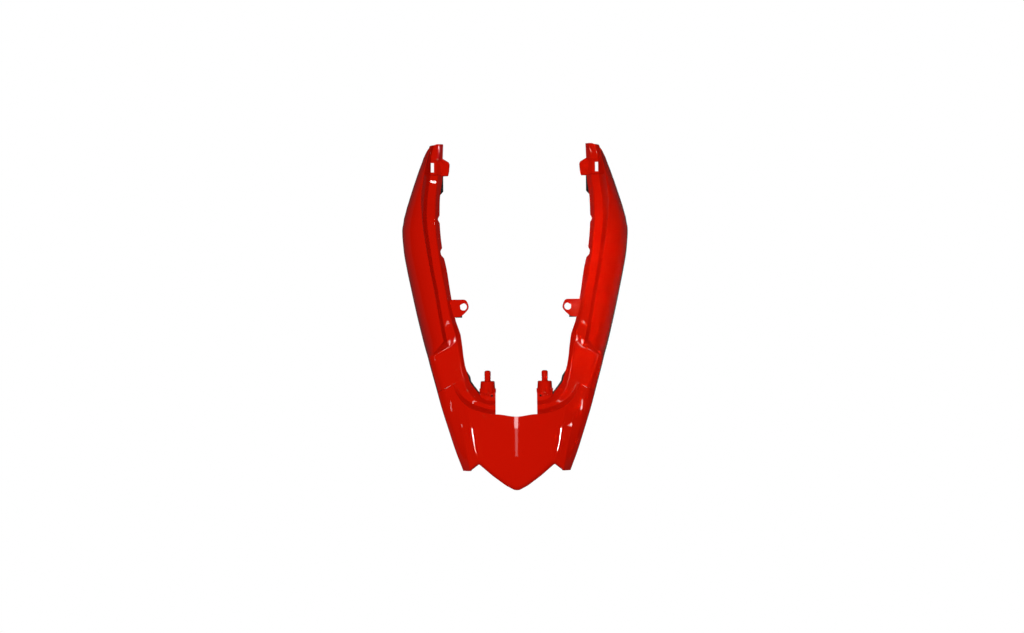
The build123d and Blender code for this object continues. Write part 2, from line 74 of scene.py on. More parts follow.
class Side(Enum):
    """The two sides of the fairing, with the sign of their X."""

    RIGHT = 1
    LEFT = -1


class Finish(Enum):
    """Finishes of a moulding's faces, by material number."""

    PAINTED = 0
    RAW = 1


@dataclass(frozen=True)
class Surface:
    """Closed surface: vertices in millimetres, quads on them and the finish number of each quad."""

    points: np.ndarray
    quads: np.ndarray
    finishes: np.ndarray


def steady_curve(knots: Sequence[float], values: np.ndarray, at: np.ndarray,
                 flat_start: bool = False) -> np.ndarray:
    """Cubic curve through a table, without overshoot.

    Between two knots the value is the Hermite cubic of both values and slopes. An inner slope is the weighted
    harmonic mean of the slopes of the two spans beside it, and zero where these differ in sign.

    Args:
        knots: rising places of the table's rows.
        values: table of the rows, one column per value.
        at: places to work out, of any shape.
        flat_start: whether the curve starts with slope zero.

    Returns:
        The values, in the shape of `at` with one axis more.
    """
    x = np.asarray(knots, float)
    v = np.asarray(values, float)
    h = np.diff(x)[:, None]
    rise = np.diff(v, axis=0) / h
    slope = np.zeros_like(v)
    slope[0] = 0.0 if flat_start else rise[0]
    slope[-1] = rise[-1]
    if len(x) > 2:
        w1 = 2 * h[1:] + h[:-1]
        w2 = h[1:] + 2 * h[:-1]
        same = rise[1:] * rise[:-1] > 0
        safe_a = np.where(same, rise[:-1], 1.0)
        safe_b = np.where(same, rise[1:], 1.0)
        slope[1:-1] = np.where(same, (w1 + w2) / (w1 / safe_a + w2 / safe_b), 0.0)
    i = np.clip(np.searchsorted(x, at, side="right") - 1, 0, len(x) - 2)
    t = ((at - x[i]) / h[i, 0])[..., None]
    step = h[i]
    return ((1 + 2 * t) * (1 - t) ** 2 * v[i] + t * (1 - t) ** 2 * step * slope[i]
            + t ** 2 * (3 - 2 * t) * v[i + 1] + t ** 2 * (t - 1) * step * slope[i + 1])


def folded_curve(knots: Sequence[float], values: np.ndarray, at: np.ndarray, fold: float) -> np.ndarray:
    """Straight lines through a table, with each fold rounded: the mean of the lines over a short window.

    Args:
        knots: rising places of the table's rows.
        values: table of the rows.
        at: places to work out.
        fold: half of the window's length.

    Returns:
        The values, in the shape of `at` with one axis more.
    """
    x = np.asarray(knots, float)
    v = np.asarray(values, float)
    total = np.zeros(at.shape + (v.shape[1],))
    offsets = np.linspace(-fold, fold, FOLD_SAMPLES)
    for offset in offsets:
        place = at + offset
        i = np.clip(np.searchsorted(x, place, side="right") - 1, 0, len(x) - 2)
        t = ((place - x[i]) / (x[i + 1] - x[i]))[..., None]
        total += (1 - t) * v[i] + t * v[i + 1]
    return total / len(offsets)


def bow(start: np.ndarray, control: np.ndarray, end: np.ndarray, t: np.ndarray) -> np.ndarray:
    """Quadratic curve: (1-t)^2 start + 2t(1-t) control + t^2 end."""
    return (1 - t) ** 2 * start + 2 * t * (1 - t) * control + t ** 2 * end


def leg(corner: np.ndarray, other: np.ndarray, length: float | np.ndarray) -> np.ndarray:
    """Point on the way from a corner to its neighbour, at a length but before a limit of the way."""
    way = other - corner
    far = np.linalg.norm(way, axis=-1, keepdims=True)
    return corner + way * np.minimum(length / far, LEG_LIMIT)


def in_space(x: np.ndarray, y: np.ndarray | float, z: np.ndarray | float) -> np.ndarray:
    """Points from their three coordinates, each spread to the shape of the others."""
    return np.stack(np.broadcast_arrays(x, y, z), axis=-1)


def upright(points: np.ndarray, y: np.ndarray | float) -> np.ndarray:
    """Points of upright sections in space, from distances and heights and their places along the object."""
    return in_space(points[..., 0], y, points[..., 1])


def ease(value: np.ndarray, start: float, end: float) -> np.ndarray:
    """Smooth step from 0 at start to 1 at end: 3t^2 - 2t^3."""
    t = np.clip((value - start) / (end - start), 0.0, 1.0)
    return t * t * (3 - 2 * t)


def rows_between(marks: Sequence[tuple[float, float]]) -> np.ndarray:
    """Rows along a length.

    Args:
        marks: pairs of a place and the step between rows after it; the last step is unused.

    Returns:
        All rows, from the first mark to the last.
    """
    runs = []
    for (a, step), (b, _) in zip(marks, marks[1:]):
        runs.append(np.linspace(a, b, max(int(round(abs(b - a) / step)), 1) + 1)[:-1])
    return np.concatenate(runs + [np.array([marks[-1][0]])])


@dataclass(frozen=True)
class Chain:
    """Cross-section made of corners: the first pairs of lines are curves, and some corners are rounded."""

    bent: int
    blends: tuple[tuple[int, float], ...]
    samples: tuple[int, ...]

    def spans(self, corners: np.ndarray,
              lengths: dict[int, np.ndarray] | None = None) -> list[tuple[np.ndarray, ...]]:
        """Start, control and end of each piece of the section; a straight piece has its middle as control.

        Args:
            corners: corners as (..., corner, 2).
            lengths: blend lengths that take the place of the chain's own, as (..., 1).

        Returns:
            The pieces in order.
        """
        blends = dict(self.blends) | (lengths or {})
        found = []
        start = corners[..., 0, :]
        i = 1
        last = corners.shape[-2] - 1
        while i <= last:
            curved = i <= 2 * self.bent - 1
            goal = i + 1 if curved else i
            point = corners[..., goal, :]
            end = leg(point, corners[..., goal - 1, :], blends[goal]) if goal in blends else point
            control = corners[..., i, :] if curved else (start + end) / 2
            found.append((start, control, end))
            start = end
            if goal in blends:
                leave = leg(point, corners[..., goal + 1, :], blends[goal])
                found.append((end, point, leave))
                start = leave
            i = goal + 1
        return found

    def columns(self) -> tuple[np.ndarray, np.ndarray]:
        """Number the columns of the section.

        Returns:
            Piece number of each column, and its place along the piece from 0 to 1.
        """
        number, place = [0], [0.0]
        for k, n in enumerate(self.samples):
            number += [k] * n
            place += list(np.arange(1, n + 1) / n)
        return np.array(number), np.array(place)

    def points(self, corners: np.ndarray, number: np.ndarray, place: np.ndarray,
               lengths: dict[int, np.ndarray] | None = None) -> np.ndarray:
        """Section points: each column takes the point at its own place on its own piece.

        Args:
            corners: corners for each row and column of the grid, as (row, column, corner, 2).
            number: piece of each column.
            place: place on the piece of each column.
            lengths: blend lengths that take the place of the chain's own.

        Returns:
            Distance and height for each row and column.
        """
        spans = self.spans(corners, lengths)
        result = np.zeros(corners.shape[:2] + (2,))
        for k in range(len(spans)):
            mine = np.nonzero(number == k)[0]
            a, c, b = (part[:, mine] for part in spans[k])
            result[:, mine] = bow(a, c, b, place[mine][None, :, None])
        return result


def under_side(points: np.ndarray, wall: float) -> np.ndarray:
    """Inner face of a section: each point moved by the wall to the left of the section's own direction."""
    way = np.gradient(points, axis=1)
    way /= np.linalg.norm(way, axis=-1, keepdims=True) + TINY
    return points + wall * np.stack([-way[..., 1], way[..., 0]], axis=-1)


def grid_quads(rows: int, columns: int, first: int = 0, flip: bool = False) -> np.ndarray:
    """Four corner numbers for each cell of a grid, whose vertices are numbered row by row from `first`."""
    n = first + np.arange(rows * columns).reshape(rows, columns)
    quads = np.stack([n[:-1, :-1], n[1:, :-1], n[1:, 1:], n[:-1, 1:]], axis=-1).reshape(-1, 4)
    return quads[:, ::-1] if flip else quads


def strip_quads(a: np.ndarray, b: np.ndarray) -> np.ndarray:
    """Quads between two runs of vertex numbers of the same length."""
    return np.stack([a[:-1], a[1:], b[1:], b[:-1]], axis=-1)


class Shell:
    """Closed thin wall or solid, gathered from grids, as arrays of vertices and quads in millimetres."""

    def __init__(self) -> None:
        """Start with nothing."""
        self.vertices: list[np.ndarray] = []
        self.quads: list[np.ndarray] = []
        self.finishes: list[np.ndarray] = []
        self.count = 0

    def add(self, vertices: np.ndarray, quads: np.ndarray, finish: Finish = Finish.PAINTED) -> None:
        """Add vertices, and quads numbered within them."""
        flat = vertices.reshape(-1, 3)
        self.vertices.append(flat)
        self.quads.append(quads + self.count)
        self.finishes.append(np.full(len(quads), finish.value))
        self.count += len(flat)

    def add_wall(self, outer: np.ndarray, inner: np.ndarray, rims: str) -> None:
        """Add both faces of a wall, the inner one raw, and close the named sides.

        Args:
            outer: outer face as (row, column, 3).
            inner: inner face on the same grid.
            rims: sides to close, of "s" first row, "e" last row, "l" first column and "r" last column.
        """
        rows, columns = outer.shape[:2]
        both = np.concatenate([outer.reshape(-1, 3), inner.reshape(-1, 3)])
        n = np.arange(rows * columns).reshape(rows, columns)
        m = n + rows * columns
        edges = {"s": (n[0], m[0]), "e": (m[-1], n[-1]),
                 "l": (m[:, 0], n[:, 0]), "r": (n[:, -1], m[:, -1])}
        closing = [strip_quads(*edges[side]) for side in rims]
        self.add(both, np.concatenate([grid_quads(rows, columns)] + closing))
        self.add(both, grid_quads(rows, columns, rows * columns, flip=True), Finish.RAW)

    def surface(self) -> Surface:
        """Everything added, without doubled vertices."""
        points = np.concatenate(self.vertices)
        quads = np.concatenate(self.quads)
        _, keep, merged = np.unique(np.round(points, 4), axis=0, return_index=True, return_inverse=True)
        return Surface(points[keep], merged.reshape(-1)[quads], np.concatenate(self.finishes))


def mesh_object(name: str, surface: Surface, side: Side = Side.RIGHT) -> bpy.types.Object:
    """Make an object from a surface, at the origin, its faces smooth and turned outwards.

    Args:
        name: the object's name.
        surface: the surface as modelled on the right; a quad that repeats a vertex makes a triangle.
        side: the left side gets the mirror image.

    Returns:
        The object.
    """
    place = surface.points * MM * np.array([side.value, 1.0, 1.0])
    lists = [list(dict.fromkeys(face)) for face in surface.quads.tolist()]
    kept = [k for k, face in enumerate(lists) if len(face) > 2]
    mesh = bpy.data.meshes.new(name)
    mesh.from_pydata(place.tolist(), [], [lists[k] for k in kept])
    mesh.polygons.foreach_set("material_index", surface.finishes[kept].astype(np.int32))
    mesh.validate()
    shape = bmesh.new()
    shape.from_mesh(mesh)
    bmesh.ops.recalc_face_normals(shape, faces=shape.faces)
    shape.to_mesh(mesh)
    shape.free()
    mesh.shade_smooth()
    thing = bpy.data.objects.new(name, mesh)
    bpy.context.scene.collection.objects.link(thing)
    return thing


def cut_away(thing: bpy.types.Object, cutter: bpy.types.Object) -> None:
    """Take a closed cutter out of a closed object, and remove the cutter.

    Args:
        thing: the object that is cut.
        cutter: the object whose space is taken out.
    """
    modifier = thing.modifiers.new("cut", "BOOLEAN")
    modifier.operation = "DIFFERENCE"
    modifier.object = cutter
    modifier.solver = "EXACT"
    with bpy.context.temp_override(object=thing, active_object=thing):
        bpy.ops.object.modifier_apply(modifier=modifier.name)
    bpy.data.objects.remove(cutter)


def soft_outline(points: Sequence[tuple[float, float]], radius: float, samples: int) -> np.ndarray:
    """Closed outline with rounded corners: each corner is a quadratic curve between points `radius` away.

    Args:
        points: the corners in order.
        radius: distance from a corner at which its curve starts and ends.
        samples: points on each curve.

    Returns:
        The outline's points.
    """
    p = np.asarray(points, float)
    entry = leg(p, np.roll(p, 1, axis=0), radius)
    leave = leg(p, np.roll(p, -1, axis=0), radius)
    t = np.linspace(0, 1, samples)[None, :, None]
    return bow(entry[:, None], p[:, None], leave[:, None], t).reshape(-1, 2)


def outline_inset(outline: np.ndarray, amount: float) -> np.ndarray:
    """Outline moved to its left by an amount, along the mean normal of the two lines at each point."""
    way = np.roll(outline, -1, axis=0) - np.roll(outline, 1, axis=0)
    way /= np.linalg.norm(way, axis=-1, keepdims=True) + TINY
    return outline + amount * np.stack([-way[:, 1], way[:, 0]], axis=-1)


def tube_surface(rings: np.ndarray, finish: Finish, looped: bool = False) -> Surface:
    """Surface through rings of points, each ring closed on itself.

    Args:
        rings: the points as (ring, point, 3).
        finish: finish of its faces.
        looped: whether the last ring is joined to the first.

    Returns:
        The surface.
    """
    count, points = rings.shape[:2]
    n = np.arange(count * points).reshape(count, points)
    n = np.concatenate([n, n[:1]]) if looped else n
    n = np.concatenate([n, n[:, :1]], axis=1)
    quads = np.stack([n[:-1, :-1], n[:-1, 1:], n[1:, 1:], n[1:, :-1]], axis=-1).reshape(-1, 4)
    shell = Shell()
    shell.add(rings, quads, finish)
    return shell.surface()


def block(outline: np.ndarray, low: float, high: float, edge: float = 0.4,
          finish: Finish = Finish.PAINTED) -> Surface:
    """Upright block over a counter-clockwise outline, with bevelled edges, closed by fans round its middle.

    Args:
        outline: points of the outline.
        low: height of its lower face.
        high: height of its upper face.
        edge: size of the bevel.
        finish: finish of its faces.

    Returns:
        The block's surface.
    """
    inset = outline_inset(outline, edge)
    middle = np.broadcast_to(outline.mean(axis=0), outline.shape)
    stack = [(middle, low), (inset, low), (outline, low + edge),
             (outline, high - edge), (inset, high), (middle, high)]
    rings = np.stack([in_space(*xy.T, z) for xy, z in stack])
    return tube_surface(rings, finish)


def rectangle(x0: float, y0: float, x1: float, y1: float) -> np.ndarray:
    """Counter-clockwise outline of a rectangle between two opposite corners."""
    return np.array([(x0, y0), (x1, y0), (x1, y1), (x0, y1)])


def turned(profile: Sequence[tuple[float, float]], centre: tuple[float, float] = (0.0, 0.0),
           finish: Finish = Finish.PAINTED, samples: int = 48) -> Surface:
    """Body of revolution about an upright axis.

    Args:
        profile: pairs of radius and height.
        centre: place of the axis.
        finish: finish of its faces.
        samples: points round the axis.

    Returns:
        The body's surface.
    """
    p = np.asarray(profile, float)
    angle = np.linspace(0, 2 * np.pi, samples, endpoint=False)
    rings = in_space(centre[0] + p[:, :1] * np.cos(angle), centre[1] + p[:, :1] * np.sin(angle), p[:, 1:])
    return tube_surface(rings, finish)


# y, width, low, slope, crest, foot, shelf, lip; distances from the middle plane and heights
SIDE_ROWS = np.array([
    (-124.0, 116.2, 17.0, 1.7, 113.0, 86.0, 105.5, 94.8, 73.9, 97.4, 68.0, 92.0),
    (-96.2, 123.8, 9.0, 1.7, 120.4, 86.0, 112.5, 94.2, 77.3, 96.6, 69.8, 90.0),
    (-73.7, 130.0, 2.0, 1.7, 126.0, 86.0, 117.6, 93.4, 81.2, 95.0, 76.2, 89.5),
    (-60.5, 133.3, 0.0, 1.5, 128.4, 88.0, 121.4, 92.8, 83.6, 94.0, 78.4, 88.4),
    (-53.0, 135.5, 0.0, 0.8, 121.8, 98.8, 114.3, 92.6, 84.9, 93.3, 79.2, 87.4),
    (-45.5, 137.5, 0.0, 0.45, 115.1, 103.8, 100.0, 92.3, 86.4, 92.4, 80.0, 86.0),
    (-36.9, 139.7, 0.0, 0.33, 107.3, 107.4, 102.5, 92.0, 88.2, 91.2, 81.2, 84.0),
    (-27.3, 142.1, 0.0, 0.33, 109.9, 106.4, 104.6, 92.7, 90.6, 91.5, 82.6, 82.5),
    (-8.1, 146.7, 0.0, 0.33, 113.2, 104.6, 108.3, 94.1, 95.8, 93.0, 89.3, 82.5),
    (1.2, 148.9, 0.0, 0.33, 114.9, 103.6, 109.9, 93.1, 98.0, 92.0, 91.5, 81.3),
    (38.9, 157.0, 0.0, 0.33, 121.5, 99.6, 116.1, 88.4, 104.9, 87.4, 98.0, 76.4),
    (68.9, 163.2, 0.0, 0.33, 127.1, 96.1, 122.1, 83.0, 111.0, 82.2, 102.6, 71.0),
    (98.9, 168.3, 0.0, 0.33, 132.4, 92.4, 126.6, 78.4, 115.4, 77.4, 109.0, 67.0),
    (128.9, 170.4, 0.0, 0.33, 137.1, 88.8, 130.7, 73.2, 119.1, 72.0, 112.4, 61.4),
    (148.4, 167.6, 0.0, 0.35, 139.4, 85.0, 132.5, 69.5, 119.7, 67.8, 113.4, 57.0),
    (173.9, 160.2, 2.0, 0.5, 140.6, 79.5, 131.6, 60.5, 119.3, 58.5, 113.0, 47.5),
    (216.6, 146.0, 11.0, 1.1, 135.6, 69.0, 126.8, 50.0, 115.4, 48.5, 108.6, 38.0),
    (240.0, 137.2, 24.0, 1.6, 130.6, 62.5, 125.6, 47.5, 114.4, 46.0, 108.3, 36.5),
    (260.0, 131.2, 34.0, 1.6, 124.6, 61.0, 120.6, 51.0, 112.0, 49.5, 107.4, 41.5)])
# as above; the shelf is the outer ridge, the lip the inner ridge, and the last value the crown's height
TAIL_ROWS = np.array([
    (-264.0, 68.4, 64.0, 1.2, 67.2, 82.5, 65.0, 87.0, 61.5, 96.4, 48.0, 101.0, 104.6),
    (-232.0, 80.4, 54.0, 1.2, 78.8, 84.5, 75.6, 89.6, 69.0, 98.9, 54.4, 104.0, 108.4),
    (-203.3, 91.3, 44.0, 1.2, 89.2, 86.0, 84.8, 91.4, 74.6, 99.9, 60.3, 105.4, 110.0),
    (-170.0, 102.2, 32.0, 1.3, 99.6, 86.6, 94.2, 92.2, 81.0, 99.8, 67.2, 105.3, 110.0),
    (-135.8, 112.9, 21.0, 1.5, 110.0, 86.4, 103.2, 91.8, 87.6, 98.9, 73.8, 104.0, 109.2),
    (-115.0, 118.6, 14.6, 1.6, 115.4, 86.2, 108.0, 92.6, 91.4, 97.6, 77.1, 102.9, 109.0),
    (-96.2, 123.8, 9.0, 1.7, 120.4, 86.0, 112.5, 93.6, 94.9, 96.1, 80.4, 101.6, 108.8)])
# angle round the corner; distance from it and height of wall top, wall foot, ledge edge and inner edge
LEDGE_ROWS = np.array([
    (0.0, 63.0, 95.46, 58.6, 95.76, 46.3, 96.6, 38.8, 90.0),
    (3.5, 62.8, 95.7, 58.3, 95.6, 46.2, 96.3, 38.2, 89.4),
    (10.0, 62.0, 96.2, 57.4, 94.4, 45.6, 94.8, 36.0, 86.4),
    (22.0, 60.2, 97.6, 55.2, 92.2, 43.8, 92.2, 33.2, 80.6),
    (45.0, 55.4, 101.3, 48.5, 91.4, 41.0, 91.2, 31.3, 80.4),
    (68.0, 50.6, 103.7, 44.0, 93.0, 38.2, 92.8, 30.8, 82.6),
    (90.0, 49.8, 104.6, 43.8, 94.0, 36.8, 93.8, 30.4, 84.5)])
HORN_TIP = ((112.0, 260.0), (117.0, 259.9), (124.5, 257.0), (129.6, 252.2), (133.2, 247.0), (137.0, 239.5))
REAR_EDGE = ((0.0, -260.0), (4.0, -259.6), (16.3, -253.0), (36.0, -238.4), (56.0, -221.2), (57.5, -221.2),
             (70.5, -231.4), (82.0, -231.4), (84.0, -228.6), (95.0, -228.6), (140.0, -228.6))
# hook block and rail seen from above
HOOK = ((113.0, 240.0), (108.2, 238.2), (99.3, 233.0), (98.0, 229.8), (98.9, 219.0), (100.5, 212.1), (113.0, 211.8))
RAIL = ((108.0, 213.0), (108.0, 189.0), (112.5, 184.0), (114.5, 184.0), (114.5, 213.0))
# boss with its peg: radius and distance from the root
BOSS = ((0.0, -1.0), (11.7, -1.0), (11.6, 0.4), (10.55, 15.6), (10.2, 16.6), (9.3, 17.0), (4.75, 17.0),
        (4.75, 18.6), (4.3, 18.9), (4.3, 20.1), (4.75, 20.4), (4.75, 22.6), (4.35, 22.9), (4.35, 23.9),
        (4.75, 24.2), (4.75, 30.2), (4.55, 31.2), (4.0, 32.0), (3.1, 32.6), (1.8, 32.9), (0.0, 33.0))
# collar under the pad, and the cutter of the pad's countersunk hole: radius and height
PAD_COLLAR = ((0.0, 70.0), (3.4, 70.0), (3.4, 82.0), (1.5, 82.0), (1.5, 72.0), (0.0, 72.0))
PAD_CUTTER = ((0.0, 80.0), (1.5, 80.0), (1.5, 83.9), (2.2, 84.6), (2.2, 86.0), (0.0, 86.0))
TUCK = 7.0
WAIST_SHARE = 0.46
SEAT_REACH = 11.0
SEAT_DROP = 0.4
LUG_THICKNESS = 1.3


def section_corners(values: np.ndarray) -> np.ndarray:
    """Corners of a cowl's section from its table values.

    The lower edge is tucked in, the knee is half way up to the waist, the waist is at its share of the way up to
    the crest, and the brow stands over the waist where the line through the crest with the given slope meets it.

    Args:
        values: width, low, slope, then pairs for crest, foot, shelf and lip, as (..., 11).

    Returns:
        Eight corners as (..., 8, 2).
    """
    width, low, slope, crest_x, crest_z = (values[..., k] for k in range(5))
    waist = low + WAIST_SHARE * (crest_z - low)
    knee = low + 0.5 * (waist - low)
    brow = np.maximum(crest_z - slope * (width - crest_x), waist + 1.0)
    lower = [(width - TUCK, low), (width, knee), (width, waist), (width, brow)]
    upper = [(values[..., k], values[..., k + 1]) for k in (3, 5, 7, 9)]
    return np.stack([np.stack(pair, axis=-1) for pair in lower + upper], axis=-2)


def crossing(grid: np.ndarray, along: np.ndarray, rising: bool) -> np.ndarray:
    """Place along each column at which a field first changes sign, between samples by straight line.

    Args:
        grid: field as (sample, column).
        along: place of each sample.
        rising: whether the wanted change is from negative to positive.

    Returns:
        One place per column.
    """
    sign = grid > 0 if rising else grid < 0
    first = np.clip(np.argmax(sign, axis=0), 1, len(along) - 1)
    column = np.arange(grid.shape[1])
    a = grid[first - 1, column]
    b = grid[first, column]
    share = np.clip(a / (a - b), 0.0, 1.0)
    return along[first - 1] + share * (along[first] - along[first - 1])


class Value:
    """A shader value that takes part in sums; each operator adds a Math node."""

    def __init__(self, tree: "Finisher", socket: bpy.types.NodeSocket) -> None:
        """Wrap a socket of a node tree."""
        self.tree = tree
        self.socket = socket

    def _math(self, operation: str, a: object, b: object) -> "Value":
        """Math node of two values."""
        return self.tree.node("ShaderNodeMath", {"operation": operation}, {0: a, 1: b})

    def __add__(self, other: object) -> "Value":
        """Sum."""
        return self._math("ADD", self, other)

    __radd__ = __add__

    def __mul__(self, other: object) -> "Value":
        """Product."""
        return self._math("MULTIPLY", self, other)

    __rmul__ = __mul__


class Finisher:
    """Builds one material's node tree."""

    def __init__(self, name: str) -> None:
        """Start an empty material of a name."""
        self.material = bpy.data.materials.new(name)
        self.material.use_nodes = True
        self.nodes = self.material.node_tree.nodes
        self.links = self.material.node_tree.links
        self.nodes.clear()

    def node(self, kind: str, settings: dict[str, object], inputs: dict[object, object],
             output: int | str = 0) -> Value:
        """Add a node.

        Args:
            kind: type of the node.
            settings: properties that are set first.
            inputs: values or links of its sockets.
            output: socket that is wanted.

        Returns:
            The wanted output.
        """
        made = self.nodes.new(kind)
        for name, value in settings.items():
            setattr(made, name, value)
        for key, value in inputs.items():
            if isinstance(value, Value):
                self.links.new(value.socket, made.inputs[key])
            else:
                made.inputs[key].default_value = value
        return Value(self, made.outputs[output])

    def finish(self, shader: Value) -> bpy.types.Material:
        """Put a shader on the material's surface and give the material."""
        output = self.nodes.new("ShaderNodeOutputMaterial")
        self.links.new(shader.socket, output.inputs["Surface"])
        return self.material

    def noise(self, scale: float, detail: float) -> Value:
        """Noise on Object coordinates, from 0 to 1."""
        place = self.node("ShaderNodeTexCoord", {}, {}, "Object")
        return self.node("ShaderNodeTexNoise", {}, {"Vector": place, "Scale": scale, "Detail": detail}, "Fac")


@dataclass(frozen=True)
class GlossPaint:
    """Red paint under clear lacquer, with faint waves in the lacquer."""

    name: str = "gloss red paint"
    colour: tuple[float, float, float, float] = (0.60, 0.0064, 0.0009, 1.0)
    shade: tuple[float, float, float, float] = (0.56, 0.0056, 0.0008, 1.0)
    roughness: float = 0.42
    lacquer_roughness: float = 0.025
    edge_radius: float = 0.0006

    def build(self) -> bpy.types.Material:
        """Make the material."""
        f = Finisher(self.name)
        drift = f.noise(9.0, 2.0)
        colour = f.node("ShaderNodeMix", {"data_type": "RGBA"},
                        {"Factor": drift, 6: self.colour, 7: self.shade}, 2)
        soft_edge = f.node("ShaderNodeBevel", {"samples": 4}, {"Radius": self.edge_radius}, "Normal")
        waves = f.noise(260.0, 1.0)
        normal = f.node("ShaderNodeBump", {}, {"Strength": 0.05, "Distance": 0.0004, "Height": waves,
                                               "Normal": soft_edge}, "Normal")
        shader = f.node("ShaderNodeBsdfPrincipled", {}, {
            "Base Color": colour, "Roughness": drift * 0.06 + self.roughness, "Normal": normal,
            "Coat Weight": 1.0, "Coat Roughness": self.lacquer_roughness, "Specular IOR Level": 0.0}, "BSDF")
        return f.finish(shader)


@dataclass(frozen=True)
class RawPlasticAndShade:
    """Dark moulded plastic, unpainted, of the inner faces; on the flange, the hook's rail and strip and the tab's
    web its dark colour paints shade.
    """

    name: str = "raw dark plastic and painted shade"
    colour: tuple[float, float, float, float] = (0.012, 0.010, 0.009, 1.0)

    def build(self) -> bpy.types.Material:
        """Make the material."""
        f = Finisher(self.name)
        grain = f.noise(700.0, 2.0)
        normal = f.node("ShaderNodeBump", {}, {"Strength": 0.15, "Distance": 0.0002, "Height": grain}, "Normal")
        shader = f.node("ShaderNodeBsdfPrincipled", {}, {
            "Base Color": self.colour, "Roughness": grain * 0.15 + 0.45, "Normal": normal}, "BSDF")
        return f.finish(shader)


@dataclass(frozen=True)
class PlatedSteel:
    """Zinc-plated steel of the screws."""

    name: str = "plated steel"
    colour: tuple[float, float, float, float] = (0.45, 0.45, 0.46, 1.0)

    def build(self) -> bpy.types.Material:
        """Make the material."""
        f = Finisher(self.name)
        cloud = f.noise(400.0, 3.0)
        shader = f.node("ShaderNodeBsdfPrincipled", {}, {
            "Base Color": self.colour, "Metallic": 1.0, "Roughness": cloud * 0.2 + 0.28}, "BSDF")
        return f.finish(shader)


def dress(thing: bpy.types.Object, *materials: bpy.types.Material) -> None:
    """Give an object its materials, and keep the material number of each face.

    Args:
        thing: the object.
        materials: its materials in the order of their numbers.
    """
    faces = thing.data.polygons
    numbers = np.zeros(len(faces), np.int32)
    faces.foreach_get("material_index", numbers)
    thing.data.materials.clear()
    for material in materials:
        thing.data.materials.append(material)
    faces.foreach_set("material_index", np.minimum(numbers, len(materials) - 1).astype(np.int32))


def ledge_at(angle: float) -> np.ndarray:
    """Radii and heights of the ledge's section at an angle, straight between the table's rows."""
    return np.array([np.interp(angle, LEDGE_ROWS[:, 0], LEDGE_ROWS[:, k]) for k in range(1, 9)])


def on_ray(angle: float, radius: float) -> tuple[float, float]:
    """Place seen from above at a radius and an angle in degrees round the corner."""
    turn = np.radians(angle)
    return CORNER[0] + radius * float(np.cos(turn)), CORNER[1] - radius * float(np.sin(turn))


def screw_seat(angle: float) -> tuple[float, float, float]:
    """Middle of a screw lug's upper face."""
    values = ledge_at(angle)
    return *on_ray(angle, values[0] + SEAT_REACH), values[3] - SEAT_DROP


def join_cowl(things: Sequence[bpy.types.Object], paint: bpy.types.Material, raw: bpy.types.Material) -> None:
    """Dress the pieces of a cowl, join them to the first and keep its creases sharp.

    Args:
        things: the cowl's pieces.
        paint: material of its painted faces.
        raw: material of its raw faces.
    """
    for thing in things:
        dress(thing, paint, raw)
    with bpy.context.temp_override(active_object=things[0], object=things[0], selected_objects=things,
                                   selected_editable_objects=things):
        bpy.ops.object.join()
    things[0].data.set_sharp_from_angle(angle=np.radians(CREASE_ANGLE))


